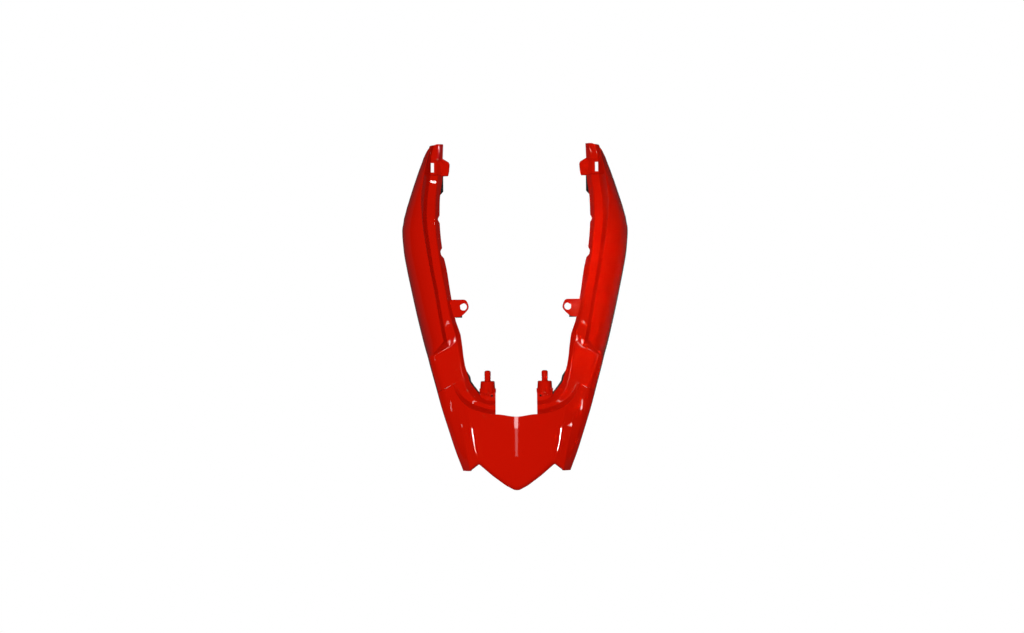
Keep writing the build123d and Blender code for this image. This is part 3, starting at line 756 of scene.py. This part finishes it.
@dataclass
class SideCowl:
    """Side cowl: outer panel, strip, end facet and ledge in one skin, with the fittings moulded on."""

    side: Side
    crest_blend: float = 1.1
    foot_blend: float = 1.0
    rear_foot_blend: float = 6.0
    shelf_blend: float = 1.6
    fold_size: float = 1.3
    fold_slant: float = 10.4
    pocket_depth: float = 2.8
    pocket_shift: float = 3.0
    slot_centre: tuple[float, float] = (124.0, 224.6)
    slot_size: tuple[float, float] = (4.6, 14.3)
    tab_hole: tuple[float, float] = (78.2, 14.0)
    tab_hole_radius: float = 5.25
    notches: tuple[tuple[float, float, float], ...] = ((146.2, 0.3, 0.37), (95.2, 2.2, 0.49))
    rib_places: tuple[float, ...] = (173.9, 98.9, 38.9)
    rib_thickness: float = 1.8
    boss_centre: tuple[float, float] = (42.8, 76.0)
    boss_root: float = -114.5
    pad_hole: tuple[float, float] = (36.4, -119.4)
    bar_shifts: tuple[float, ...] = (7.6, 4.8, 2.0, -0.8)
    web_size: tuple[float, float] = (12.4, 0.8)
    front_folds: tuple[float, float, float, float] = (132.0, 142.0, 156.0, 166.0)
    rear_folds: tuple[float, float] = (10.0, 22.0)
    slant_run: tuple[float, float, float, float] = (-66.0, -48.0, 16.0, 34.0)
    notch_shoulders: tuple[float, float] = (6.5, 6.0)
    pocket_wall: tuple[float, float] = (212.9, 213.9)
    pocket_ramp: tuple[float, float] = (233.1, 4.0)
    horn_length: float = 85.0
    horn_side_slope: float = 0.5
    seam_angle: float = 4.75
    seam_columns: float = 9.0
    flange_heights: tuple[float, float] = (66.0, 78.0)
    flange_reach: float = 1.9

    def chain(self) -> Chain:
        """Section of the panel and strip."""
        return Chain(2, ((4, self.crest_blend), (5, self.foot_blend), (6, self.shelf_blend)),
                     (14, 14, 8, 5, 7, 27, 7, 6))

    def ledge_chain(self) -> Chain:
        """Section of the ledge, which carries on the strip's last columns."""
        return Chain(0, ((1, 0.8), (2, self.shelf_blend)), (5, 6, 8, 7, 6))

    def ledge_corners(self, angle: np.ndarray) -> np.ndarray:
        """Corners of the ledge's section at angles in degrees, as (..., 4, 2)."""
        values = steady_curve(LEDGE_ROWS[:, 0], LEDGE_ROWS[:, 1:], angle, flat_start=True)
        return values.reshape(angle.shape + (4, 2))

    def table(self, y: np.ndarray) -> np.ndarray:
        """Table values: smooth along the arm, folded at the horn's root and over the end facet.

        Args:
            y: places along the cowl, of any shape.

        Returns:
            The values, in the shape of `y` with one axis more.
        """
        smooth = steady_curve(SIDE_ROWS[:, 0], SIDE_ROWS[:, 1:], y)
        folded = folded_curve(SIDE_ROWS[:, 0], SIDE_ROWS[:, 1:], y, self.fold_size)
        start, full, fading, end = self.front_folds
        crisp = ease(y, *self.rear_folds[::-1]) + ease(y, start, full) * ease(y, end, fading)
        return smooth + (folded - smooth) * crisp[..., None]

    def corners(self, y: np.ndarray, across: np.ndarray) -> np.ndarray:
        """Corners of the panel's section, with the notches in the inner edge and the slot's pocket.

        Across the strip the folds run aslant: a point that lies at a share of the way from foot to shelf takes the
        heights of both from places further along, by the slant times the share.

        Args:
            y: places as (row, column).
            across: share of the way over the strip for each column.

        Returns:
            Corners as (row, column, 8, 2).
        """
        corners = section_corners(self.table(y))
        start, full, fading, end = self.slant_run
        slant = self.fold_slant * ease(y, start, full) * ease(y, end, fading)
        corners[..., 5, 1] = self.table(y - slant * across)[..., 6]
        corners[..., 6, 1] = self.table(y + slant * (1 - across))[..., 8]
        for place, half, depth in self.notches:
            behind, ahead = self.notch_shoulders
            bite = ease(y, place - half - behind, place - half) - ease(y, place + half, place + half + ahead)
            corners[..., 7, :] += depth * bite[..., None] * (corners[..., 6, :] - corners[..., 7, :])
        ramp, length = self.pocket_ramp
        sunk = ease(y, *self.pocket_wall) - np.clip((y - ramp) / length, 0.0, 1.0)
        corners[..., 5, 1] -= sunk * self.pocket_depth
        corners[..., 6, 1] -= sunk * self.pocket_depth
        corners[..., 6, 0] += sunk * self.pocket_shift
        return corners

    def foot_lengths(self, y: np.ndarray) -> dict[int, np.ndarray]:
        """Length of the foot's blend at any places: short along the wall, long behind the end facet."""
        grown = self.foot_blend + (self.rear_foot_blend - self.foot_blend) * ease(y, -54.0, -66.0)
        return {5: grown[..., None]}

    def strip_places(self, number: np.ndarray, place: np.ndarray) -> np.ndarray:
        """Places along the strip's straight piece, such that its last columns meet those of the ledge.

        Args:
            number: piece of each column.
            place: place on the piece of each column.

        Returns:
            The places, changed on the strip's straight piece.
        """
        joint = np.full((1, 1), CORNER[1])
        a, _, b = self.chain().spans(self.corners(joint, np.zeros(1)), self.foot_lengths(joint))[5]
        ledge = self.ledge_chain()
        wide = np.repeat(self.ledge_corners(np.zeros((1, 1))), sum(ledge.samples) + 1, axis=1)
        x = CORNER[0] + ledge.points(wide, *ledge.columns())[0, :, 0]
        inner = sum(ledge.samples[:3])
        shares = (a[0, 0, 0] - x[:inner + 1]) / (a[0, 0, 0] - b[0, 0, 0])
        shares[-1] = 1.0
        mine = np.nonzero(number == 5)[0]
        ahead = len(mine) - (inner + 1)
        result = place.copy()
        result[mine] = np.concatenate([np.arange(1, ahead + 1) / (ahead + 1) * shares[0], shares])
        return result

    def rows(self) -> np.ndarray:
        """Rows along the cowl from the horn's tip to the ledge's start."""
        return rows_between(((260.0, 1.0), (240.0, 0.7), (208.0, 1.6), (158.0, 1.0), (138.0, 1.8), (22.0, 0.8),
                             (CORNER[1], 1.0)))

    def tip_limit(self, x: np.ndarray) -> np.ndarray:
        """Outline of the horn's tip by distance from the middle; beyond the table it falls at a fixed slope."""
        tip = np.asarray(HORN_TIP)
        past = tip[-1, 1] - self.horn_side_slope * (x - tip[-1, 0])
        return np.where(x > tip[-1, 0], past, np.interp(x, tip[:, 0], tip[:, 1]))

    def skin(self) -> Surface:
        """Skin of the cowl.

        Rows run back along the cowl and columns across its section. At the horn the rows start on the outline of
        the tip. Behind the ledge's start the outer columns go on to the seam, and the inner ones turn round the
        corner as sections on rays from its centre.

        Returns:
            The skin.
        """
        chain = self.chain()
        number, place = chain.columns()
        place = self.strip_places(number, place)
        count = len(number)
        across = np.where(number == 5, place, (number > 5).astype(float))

        def section(y: np.ndarray) -> np.ndarray:
            """Section points at the places of a grid."""
            width = y.shape[1]
            corners = self.corners(y, across[:width])
            return chain.points(corners, number[:width], place[:width], self.foot_lengths(y))

        probe = np.linspace(262.0, 225.0, 240)
        at = np.broadcast_to(probe[:, None], (len(probe), count))
        start = crossing(at - self.tip_limit(section(at)[..., 0]), probe, rising=False)
        base = self.rows()[:, None]
        front = base[0, 0]
        y = base - (front - start)[None, :] * np.clip((base - front) / self.horn_length + 1.0, 0.0, 1.0)
        flat = section(y)
        under = under_side(flat, WALL)
        shell = Shell()
        ledge = self.ledge_chain()
        ledge_count = sum(ledge.samples) + 1
        k = count - ledge_count
        angle = rows_between(((0.0, 1.6), (self.seam_angle, 1.3), (30.0, 1.8), (90.0, 1.0)))
        wide = np.repeat(self.ledge_corners(angle[:, None]), ledge_count, axis=1)
        ring = ledge.points(wide, *ledge.columns())
        ring_under = under_side(ring, WALL)
        ring_under[0] = under[-1, k:] - np.array([CORNER[0], 0.0])
        turn = np.radians(angle)[:, None]

        def around(points: np.ndarray) -> np.ndarray:
            """Points of the turned sections in space."""
            return in_space(CORNER[0] + points[..., 0] * np.cos(turn), CORNER[1] - points[..., 0] * np.sin(turn),
                            points[..., 1])

        outer, inner = upright(flat, y), upright(under, y)
        ring_outer, ring_inner = around(ring), around(ring_under)
        shell.add_wall(outer, inner, "slr")
        m = int(np.argmin(np.abs(angle - self.seam_angle)))
        probe = np.linspace(CORNER[1], -130.0, 300)
        at = np.broadcast_to(probe[:, None], (len(probe), k + 1))
        reach = SEAM_START[1] + SEAM_SLOPE * (section(at)[..., 0] - SEAM_START[0]) + PART_GAP / 2
        end = crossing(at - reach, probe, rising=False)
        share = np.linspace(0, 1, m + 1)[:, None]
        y = CORNER[1] + share * (end[None, :] - CORNER[1])
        flat = section(y)
        under = under_side(flat, WALL)
        rear, rear_under = upright(flat, y), upright(under, y)
        weight = ease(np.arange(k + 1), k - self.seam_columns, float(k))[None, :, None]
        rear += (ring_outer[:m + 1, :1] - rear[:, -1:]) * weight
        rear_under += (ring_inner[:m + 1, :1] - rear_under[:, -1:]) * weight
        rear[0], rear_under[0] = outer[-1, :k + 1], inner[-1, :k + 1]
        ring_inner[0] = inner[-1, k:]
        ring_outer[0] = outer[-1, k:]
        rear[:, -1], rear_under[:, -1] = ring_outer[:m + 1, 0], ring_inner[:m + 1, 0]
        shell.add_wall(rear, rear_under, "el")
        shell.add_wall(ring_outer[m:], ring_inner[m:], "elr")
        shell.add_wall(ring_outer[:m + 1], ring_inner[:m + 1], "r")
        return shell.surface()

    def rib(self, y: float) -> Surface:
        """Upright rib across the hollow, between the inner face and the straight line across its mouth.

        Args:
            y: place of its middle along the cowl.

        Returns:
            The rib.
        """
        chain = self.chain()
        number, place = chain.columns()
        grid = np.full((1, len(number)), y)
        points = chain.points(self.corners(grid, np.zeros(len(number))), number, place)
        top = under_side(points, WALL - 0.6)[0, 14:]
        mouth = top[0] + np.linspace(0, 1, len(top))[:, None] * (top[-1] - top[0])
        face = np.stack([top, mouth])
        shell = Shell()
        half = self.rib_thickness / 2
        shell.add_wall(upright(face, y + half), upright(face, y - half), "selr")
        return shell.surface()

    def lug(self, angle: float, half_width: float) -> Surface:
        """Flat lug with a round end, from the ledge's foot to a screw.

        Args:
            angle: the screw's angle round the corner in degrees.
            half_width: half of the lug's width, and the radius of its end.

        Returns:
            The lug.
        """
        x, y, z = screw_seat(angle)
        start = np.array(on_ray(angle, ledge_at(angle)[2] - 1.2))
        way = np.array([x, y]) - start
        way /= np.linalg.norm(way)
        cross = np.array([-way[1], way[0]]) * half_width
        sweep = np.radians(np.linspace(-90, 90, 17))[:, None]
        end = np.array([x, y]) + half_width * np.cos(sweep) * way + np.sin(sweep) * cross
        outline = np.concatenate([[start - cross], end, [start + cross]])
        return block(outline, z - WALL, z - WALL + LUG_THICKNESS, 0.3, Finish.RAW)

    def flange(self) -> Surface:
        """Narrow flange under the inner edge, round the rear corner, all in the dark raw finish: a dark strip that
        paints the shade seen under the lip.

        Returns:
            The flange.
        """
        y = np.linspace(-83.0, CORNER[1], 14)
        lip = steady_curve(SIDE_ROWS[:, 0], SIDE_ROWS[:, 1:], y)[:, 9]
        angle = np.linspace(0.0, 38.0, 24)[1:]
        radius = np.array([ledge_at(a)[6] for a in angle])
        turned_part = np.array([on_ray(a, r) for a, r in zip(angle, radius)])
        path = np.concatenate([np.column_stack([lip, y]), turned_part])
        reach = self.flange_reach * ease(np.linspace(0, 1, len(path)), 0.0, 0.25)[:, None]
        way = np.gradient(path, axis=0)
        way /= np.linalg.norm(way, axis=1, keepdims=True)
        inward = np.column_stack([way[:, 1], -way[:, 0]])
        inward *= np.sign(inward[:, :1] * -1.0)
        edge, root = path + inward * reach, path - inward * 1.0

        def at(xy: np.ndarray) -> np.ndarray:
            """Upright band through a path."""
            return in_space(xy[:, :1], xy[:, 1:], np.array(self.flange_heights))

        shell = Shell()
        shell.add_wall(at(edge), at(root), "selr")
        made = shell.surface()
        # the whole flange takes the dark raw finish, which paints the shade under the inner lip
        return Surface(made.points, made.quads, np.full(len(made.quads), Finish.RAW.value))

    def tab(self) -> Surface:
        """Mounting tab with its hole and the collar under it: rings round the tab and round the hole.

        Returns:
            The tab.
        """
        x, y = self.tab_hole
        rim = self.tab_hole_radius + 2.7
        tab = soft_outline(((x + 20, y + 11), (x - 4, y + 11), (x - rim, y + 2.6), (x - rim, y - 2.6),
                            (x - 4, y - rim), (x + 4, y - 15), (x + 20, y - 16)), 4.0, 8)
        steps = np.arctan2(tab[:, 1] - y, tab[:, 0] - x)
        hole, soft_hole, brim = (np.column_stack([x + radius * np.cos(steps), y + radius * np.sin(steps)])
                                 for radius in (self.tab_hole_radius, self.tab_hole_radius + 0.5, rim))
        stack = ((outline_inset(tab, 0.6), 84.0), (tab, 83.4), (tab, 81.0), (brim, 81.0),
                 (brim, 78.0), (hole, 78.0), (hole, 83.5), (soft_hole, 84.0))
        return tube_surface(np.stack([in_space(*xy.T, z) for xy, z in stack]), Finish.PAINTED, looped=True)

    def boss(self) -> list[Surface]:
        """Drafted boss with its peg, lying along Y, and the six webs round its root.

        Returns:
            The boss and the webs.
        """
        cx, cz = self.boss_centre

        def laid(surface: Surface, turn: float = 0.0) -> Surface:
            """Surface turned about its own axis, then laid along Y at the boss's place."""
            x, y, z = surface.points.T
            across = x * np.cos(turn) - y * np.sin(turn)
            up = x * np.sin(turn) + y * np.cos(turn)
            return Surface(in_space(across + cx, z + self.boss_root, cz - up), surface.quads, surface.finishes)

        reach, half = self.web_size
        web = block(rectangle(-reach, -half, reach, half), 0.0, 6.0, 0.25)
        return [laid(turned(BOSS))] + [laid(web, np.radians(30 * k)) for k in range(6)]

    def fittings(self) -> list[Surface]:
        """Tab, collar, pad, boss, peg, hook, rail, ribs, lugs and flange, each closed.

        Returns:
            The surfaces in order.
        """
        x, y = self.tab_hole
        cx = self.boss_centre[0]
        # the web under the tab takes the dark raw finish, which paints the shade along the tab's lower edge
        tab_shade_web = block(rectangle(x + 2.0, y - 16.2, x + 12.0, y - 12.0), 70.0, 81.5, 0.3, Finish.RAW)
        boss_plate = block(rectangle(CORNER[0], -117.0, cx + 13.2, self.boss_root), 63.0, 84.0, 0.4, Finish.RAW)
        bars = [block(rectangle(cx + shift - 0.6, -119.4, cx + shift + 0.6, -112.0), 84.0, 87.2, 0.3)
                for shift in self.bar_shifts]
        pad_collar = turned(PAD_COLLAR, self.pad_hole, Finish.RAW, 24)
        front = [block(soft_outline(HOOK, 1.2, 4), 31.0, 40.0, 1.2),
                 # the rail and the upright strip beside it take the dark raw finish, which paints the shade in the
                 # gap under the hook
                 block(soft_outline(RAIL, 1.0, 4), 31.0, 33.5, 0.4, Finish.RAW),
                 block(rectangle(112.0, 184.0, 114.5, 213.0), 33.0, 44.0, 0.3, Finish.RAW)]
        ribs = [self.rib(place) for place in self.rib_places]
        lugs = [self.lug(*row) for row in SCREW_LUGS]
        rear = [self.tab(), tab_shade_web, boss_plate, *self.boss(), *bars, pad_collar]
        return rear + front + ribs + lugs + [self.flange()]

    def pad(self) -> bpy.types.Object:
        """Flat pad behind the boss, with its countersunk hole.

        Returns:
            The pad.
        """
        sweep = np.radians(np.linspace(90, 45, 16))
        radius = self.ledge_corners(np.degrees(sweep))[:, 3, 0] + 1.5
        edge = np.column_stack([CORNER[0] + radius * np.cos(sweep), CORNER[1] - radius * np.sin(sweep)])
        outline = np.concatenate([edge, [(edge[-1, 0], -114.0), (CORNER[0], -114.0)]])
        plate = mesh_object("pad", block(outline, 81.5, 84.5), self.side)
        cut_away(plate, mesh_object("hole", turned(PAD_CUTTER, self.pad_hole), self.side))
        return plate

    def build(self, paint: bpy.types.Material, raw: bpy.types.Material) -> bpy.types.Object:
        """Make the cowl and put it in the place of its solid.

        Args:
            paint: material of its painted faces.
            raw: material of its raw faces.

        Returns:
            The cowl.
        """
        name = f"side_cowl_{self.side.name.lower()}"
        skin = mesh_object(name + "_skin", self.skin(), self.side)
        x, y = self.slot_centre
        w, h = self.slot_size[0] / 2, self.slot_size[1] / 2
        slot = block(rectangle(x - w, y - h, x + w, y + h), 30.0, 60.0, 0.2)
        cut_away(skin, mesh_object("slot", slot, self.side))
        things = [skin, self.pad()] + [mesh_object("fitting", part, self.side) for part in self.fittings()]
        join_cowl(things, paint, raw)
        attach(skin, "root")
        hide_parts(name)
        return skin


@dataclass
class CentreCowl:
    """Centre cowl: crowned top, facets, side skirts and the rolled rear edge."""

    roll_reach: float = 8.0
    roll_depth: float = 6.0
    roll_share: float = 0.97
    arch_columns: int = 30
    front_middle: float = -149.9
    widest: float = 200.0

    def chain(self) -> Chain:
        """Section from the lower edge to the inner ridge."""
        return Chain(2, ((4, 4.0), (5, 4.0), (6, 1.6)), (12, 12, 8, 4, 8, 8, 7, 14))

    def section(self, y: np.ndarray) -> np.ndarray:
        """Half section with the arch over the middle.

        The arch is the cubic curve whose controls lie over half the ridge's distance, at a height that brings its
        top to the crown. The ridge is rounded by a quadratic curve between facet and arch.

        Args:
            y: places as (row, column).

        Returns:
            Distance and height for each row and column.
        """
        values = steady_curve(TAIL_ROWS[:, 0], TAIL_ROWS[:, 1:], y)
        corners = section_corners(values)
        number, place = self.chain().columns()
        first = len(number)
        side = self.chain().points(corners[:, :first], number, place)
        ridge, crown = corners[..., 7, :], values[..., 11]
        swell = (4 * crown - ridge[..., 1]) / 3
        columns = y.shape[1] - first
        t = (0.5 * np.linspace(0, 1, columns + 1)[1:])[None, :]
        x = ridge[:, first:, 0] * ((1 - t) ** 3 + 1.5 * t * (1 - t) ** 2 - 1.5 * t ** 2 * (1 - t) - t ** 3)
        z = (ridge[:, first:, 1] * ((1 - t) ** 3 + t ** 3) + swell[:, first:] * 3 * t * (1 - t))
        return np.concatenate([side, np.stack([x, z], axis=-1)], axis=1)

    def front_edge(self, x: np.ndarray) -> np.ndarray:
        """Front edge seen from above: over the middle a cubic, then the ledge's curve, then the seam.

        Args:
            x: distances from the middle, of any shape.

        Returns:
            The edge's place along the object at each distance.
        """
        angle = np.linspace(90.0, 4.7, 120)
        top = steady_curve(LEDGE_ROWS[:, 0], LEDGE_ROWS[:, 1:2], angle, flat_start=True)[:, 0] + PART_GAP
        turn = np.radians(angle)
        ex, ey = CORNER[0] + top * np.cos(turn), CORNER[1] - top * np.sin(turn)
        lead = np.linspace(0.0, 0.97, 24)
        slope = (ey[1] - ey[0]) / (ex[1] - ex[0])
        gap = ey[0] - self.front_middle
        ly = self.front_middle + (3 * gap - slope * ex[0]) * lead ** 2 + (slope * ex[0] - 2 * gap) * lead ** 3
        seam = SEAM_START[1] - PART_GAP / 2
        xs = np.concatenate([lead * ex[0], ex, [SEAM_START[0] + 0.05, self.widest]])
        ys = np.concatenate([ly, ey, [seam, seam + SEAM_SLOPE * (self.widest - SEAM_START[0])]])
        return np.interp(x, xs, ys)

    def rear_edge(self, x: np.ndarray) -> np.ndarray:
        """Rear edge seen from above, by distance from the middle."""
        table = np.asarray(REAR_EDGE)
        return folded_curve(table[:, 0], table[:, 1:], x, 1.2)[..., 0]

    def half_columns(self) -> int:
        """Columns from the lower edge to the middle."""
        return sum(self.chain().samples) + 1 + self.arch_columns

    def skin(self) -> Surface:
        """Skin of the whole centre cowl, its edge rolled down at the rear.

        Rows run from the front edge to the rear edge and columns across from right to left. Near the rear edge the
        height falls by a quarter of an ellipse whose reach is `roll_reach` and whose depth is `roll_depth`.

        Returns:
            The skin.
        """
        probe = np.linspace(-92.0, -263.5, 900)
        at = np.broadcast_to(probe[:, None], (len(probe), self.half_columns()))
        across = self.section(at)[..., 0]
        start = crossing(at - self.front_edge(across), probe, rising=False)
        end = crossing(at - self.rear_edge(across), probe, rising=False)
        share = np.concatenate([np.linspace(0, 0.9, 90), 1 - 0.1 * np.linspace(1, 0, 26)[1:] ** 1.3])[:, None]
        y = start + share * (end - start)
        flat = self.section(y)
        under = under_side(flat, WALL)
        under[:, -1, 0] = 0.0
        flat[:, -1, 0] = 0.0
        ruler = np.linspace(0, 120, 481)
        lean = np.interp(flat[..., 0], ruler, np.gradient(self.rear_edge(ruler), ruler[1]))
        away = (y - self.rear_edge(flat[..., 0])) / np.sqrt(1 + lean ** 2)
        near = np.clip(1 - away / self.roll_reach, 0.0, 1.0)
        fall = self.roll_depth * (1 - np.sqrt(np.maximum(1 - (near * self.roll_share) ** 2, 0.0)))
        fall *= 1 - ease(flat[..., 0], 60.0, 84.0)
        flat[..., 1] -= fall
        under[..., 1] -= fall
        flip = np.array([-1.0, 1.0, 1.0])
        outer, inner = (np.concatenate([half, half[:, -2::-1] * flip], axis=1)
                        for half in (upright(flat, y), upright(under, y)))
        shell = Shell()
        shell.add_wall(outer, inner, "selr")
        return shell.surface()

    def screw_boss(self, angle: float) -> Surface:
        """Round boss with the screw's bore, from the lug up into the wall.

        Args:
            angle: the screw's angle round the corner in degrees.

        Returns:
            The boss.
        """
        x, y, z = screw_seat(angle)
        section = self.section(np.full((1, self.half_columns()), y))[0]
        order = np.argsort(section[:, 0])
        top = float(np.interp(x, section[order, 0], section[order, 1])) - WALL - 0.6
        bore, radius, end = 2.1, 4.5, z + 8.5
        profile = ((bore, z), (radius, z), (radius, top), (0.0, top), (0.0, end), (bore, end), (bore, z))
        return turned(profile, (x, y), Finish.RAW, 32)

    def build(self, paint: bpy.types.Material, raw: bpy.types.Material) -> bpy.types.Object:
        """Make the cowl and put it in the place of its solid.

        Args:
            paint: material of its painted faces.
            raw: material of its raw faces.

        Returns:
            The cowl.
        """
        skin = mesh_object("centre_cowl_skin", self.skin())
        things = [skin] + [mesh_object("boss", self.screw_boss(angle), side)
                           for side in Side for angle, _ in SCREW_LUGS]
        join_cowl(things, paint, raw)
        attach(skin, "root")
        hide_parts("centre_cowl")
        return skin


@dataclass(frozen=True)
class Lamp:
    """Rectangular light: place, size and aim in metres, power in watts and spread in degrees.

    A mirrored lamp is small, shows in the lacquer and adds nothing to the plain light; another adds plain light
    only.
    """

    name: str
    place: tuple[float, float, float]
    size: tuple[float, float]
    power: float
    mirrored: bool = True
    spread: float = 180.0
    aim: tuple[float, float, float] = (0.0, 0.0, 0.06)

    def build(self) -> None:
        """Make the light."""
        lamp = bpy.data.lights.new(self.name, "AREA")
        lamp.shape = "RECTANGLE"
        lamp.size, lamp.size_y = self.size
        lamp.energy = self.power
        lamp.spread = np.radians(self.spread)
        thing = bpy.data.objects.new(self.name, lamp)
        bpy.context.scene.collection.objects.link(thing)
        thing.location = self.place
        thing.rotation_euler = (Vector(self.aim) - Vector(self.place)).to_track_quat("-Z", "Y").to_euler()
        thing.visible_glossy = self.mirrored
        thing.visible_diffuse = not self.mirrored


LAMPS = (
    Lamp("overhead", (-0.32, 0.06, 3.1), (0.6, 0.6), 76.0, mirrored=False),
    Lamp("over the right arm", (0.17, 0.05, 2.4), (0.05, 0.3), 0.10, mirrored=False, spread=8.0,
         aim=(0.17, 0.05, 0.06)),
    Lamp("over the middle", (0.0, -0.13, 4.0), (0.08, 0.25), 0.6),
    Lamp("behind the middle", (0.0, -0.46, 4.0), (0.06, 0.40), 0.15),
    Lamp("for the folds on the left", (0.05, 0.02, 1.2), (0.16, 0.016), 0.35),
    Lamp("for the folds on the right", (-0.05, 0.02, 1.2), (0.16, 0.016), 0.22),
    Lamp("left", (-0.68, -0.34, 1.2), (0.02, 0.38), 2.4),
    Lamp("right", (0.68, -0.34, 1.2), (0.02, 0.38), 4.4),
    Lamp("far left", (-1.34, -0.42, 1.2), (0.02, 0.25), 0.06),
    Lamp("far right", (1.34, -0.42, 1.2), (0.02, 0.25), 0.3),
    Lamp("left front", (0.188, 0.764, 1.2), (0.022, 0.035), 0.06))


@dataclass
class Studio:
    """Pale floor, soft lights and a camera straight above."""

    floor_reach: float = 6000.0
    floor_gap: float = 0.5
    surroundings: float = 0.15
    camera_place: tuple[float, float, float] = (-0.0055, -0.0009, 4.34)
    camera_roll: float = 0.45
    lens: float = 100.0
    sensor: float = 36.0

    def floor(self) -> None:
        """Pale floor that the camera sees as pure white."""
        f = Finisher("pale floor")
        seen = f.node("ShaderNodeLightPath", {}, {}, "Is Camera Ray")
        plain = f.node("ShaderNodeBsdfDiffuse", {}, {"Color": (0.06, 0.06, 0.06, 1.0)})
        bright = f.node("ShaderNodeEmission", {}, {"Color": (1.0, 1.0, 1.0, 1.0), "Strength": 1.0})
        material = f.finish(f.node("ShaderNodeMixShader", {}, {0: seen, 1: plain, 2: bright}))
        reach = self.floor_reach
        corners = in_space(*rectangle(-reach, -reach, reach, reach).T, cad_box[0][2] / MM - self.floor_gap)
        floor = mesh_object("floor", Surface(corners, np.array([[0, 1, 2, 3]]), np.zeros(1)))
        dress(floor, material)

    def build(self) -> None:
        """Make floor, lights, surroundings and camera."""
        self.floor()
        for lamp in LAMPS:
            lamp.build()
        scene = bpy.context.scene
        world = bpy.data.worlds.new("surroundings")
        world.use_nodes = True
        background = world.node_tree.nodes["Background"].inputs
        background["Color"].default_value = (1.0, 1.0, 1.0, 1.0)
        background["Strength"].default_value = self.surroundings
        scene.world = world
        world.cycles_visibility.glossy = False
        camera = bpy.data.cameras.new("camera")
        camera.lens = self.lens
        camera.sensor_width = self.sensor
        thing = bpy.data.objects.new("camera", camera)
        scene.collection.objects.link(thing)
        thing.location = self.camera_place
        thing.rotation_euler = (0.0, 0.0, np.radians(-self.camera_roll))
        scene.camera = thing
        scene.view_settings.view_transform = "Standard"


def main() -> None:
    """Build every piece in order and the studio round them."""
    logging.basicConfig(level=logging.INFO, format="%(message)s")
    paint = GlossPaint().build()
    raw = RawPlasticAndShade().build()
    steel = PlatedSteel().build()
    for side in Side:
        cowl = SideCowl(side).build(paint, raw)
        log.info("%s: %d faces", cowl.name, len(cowl.data.polygons))
    centre = CentreCowl().build(paint, raw)
    log.info("%s: %d faces", centre.name, len(centre.data.polygons))
    for name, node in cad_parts.items():
        if name.startswith("joining_screw"):
            dress(node, steel)
    Studio().build()


if __name__ == "__main__":
    main()
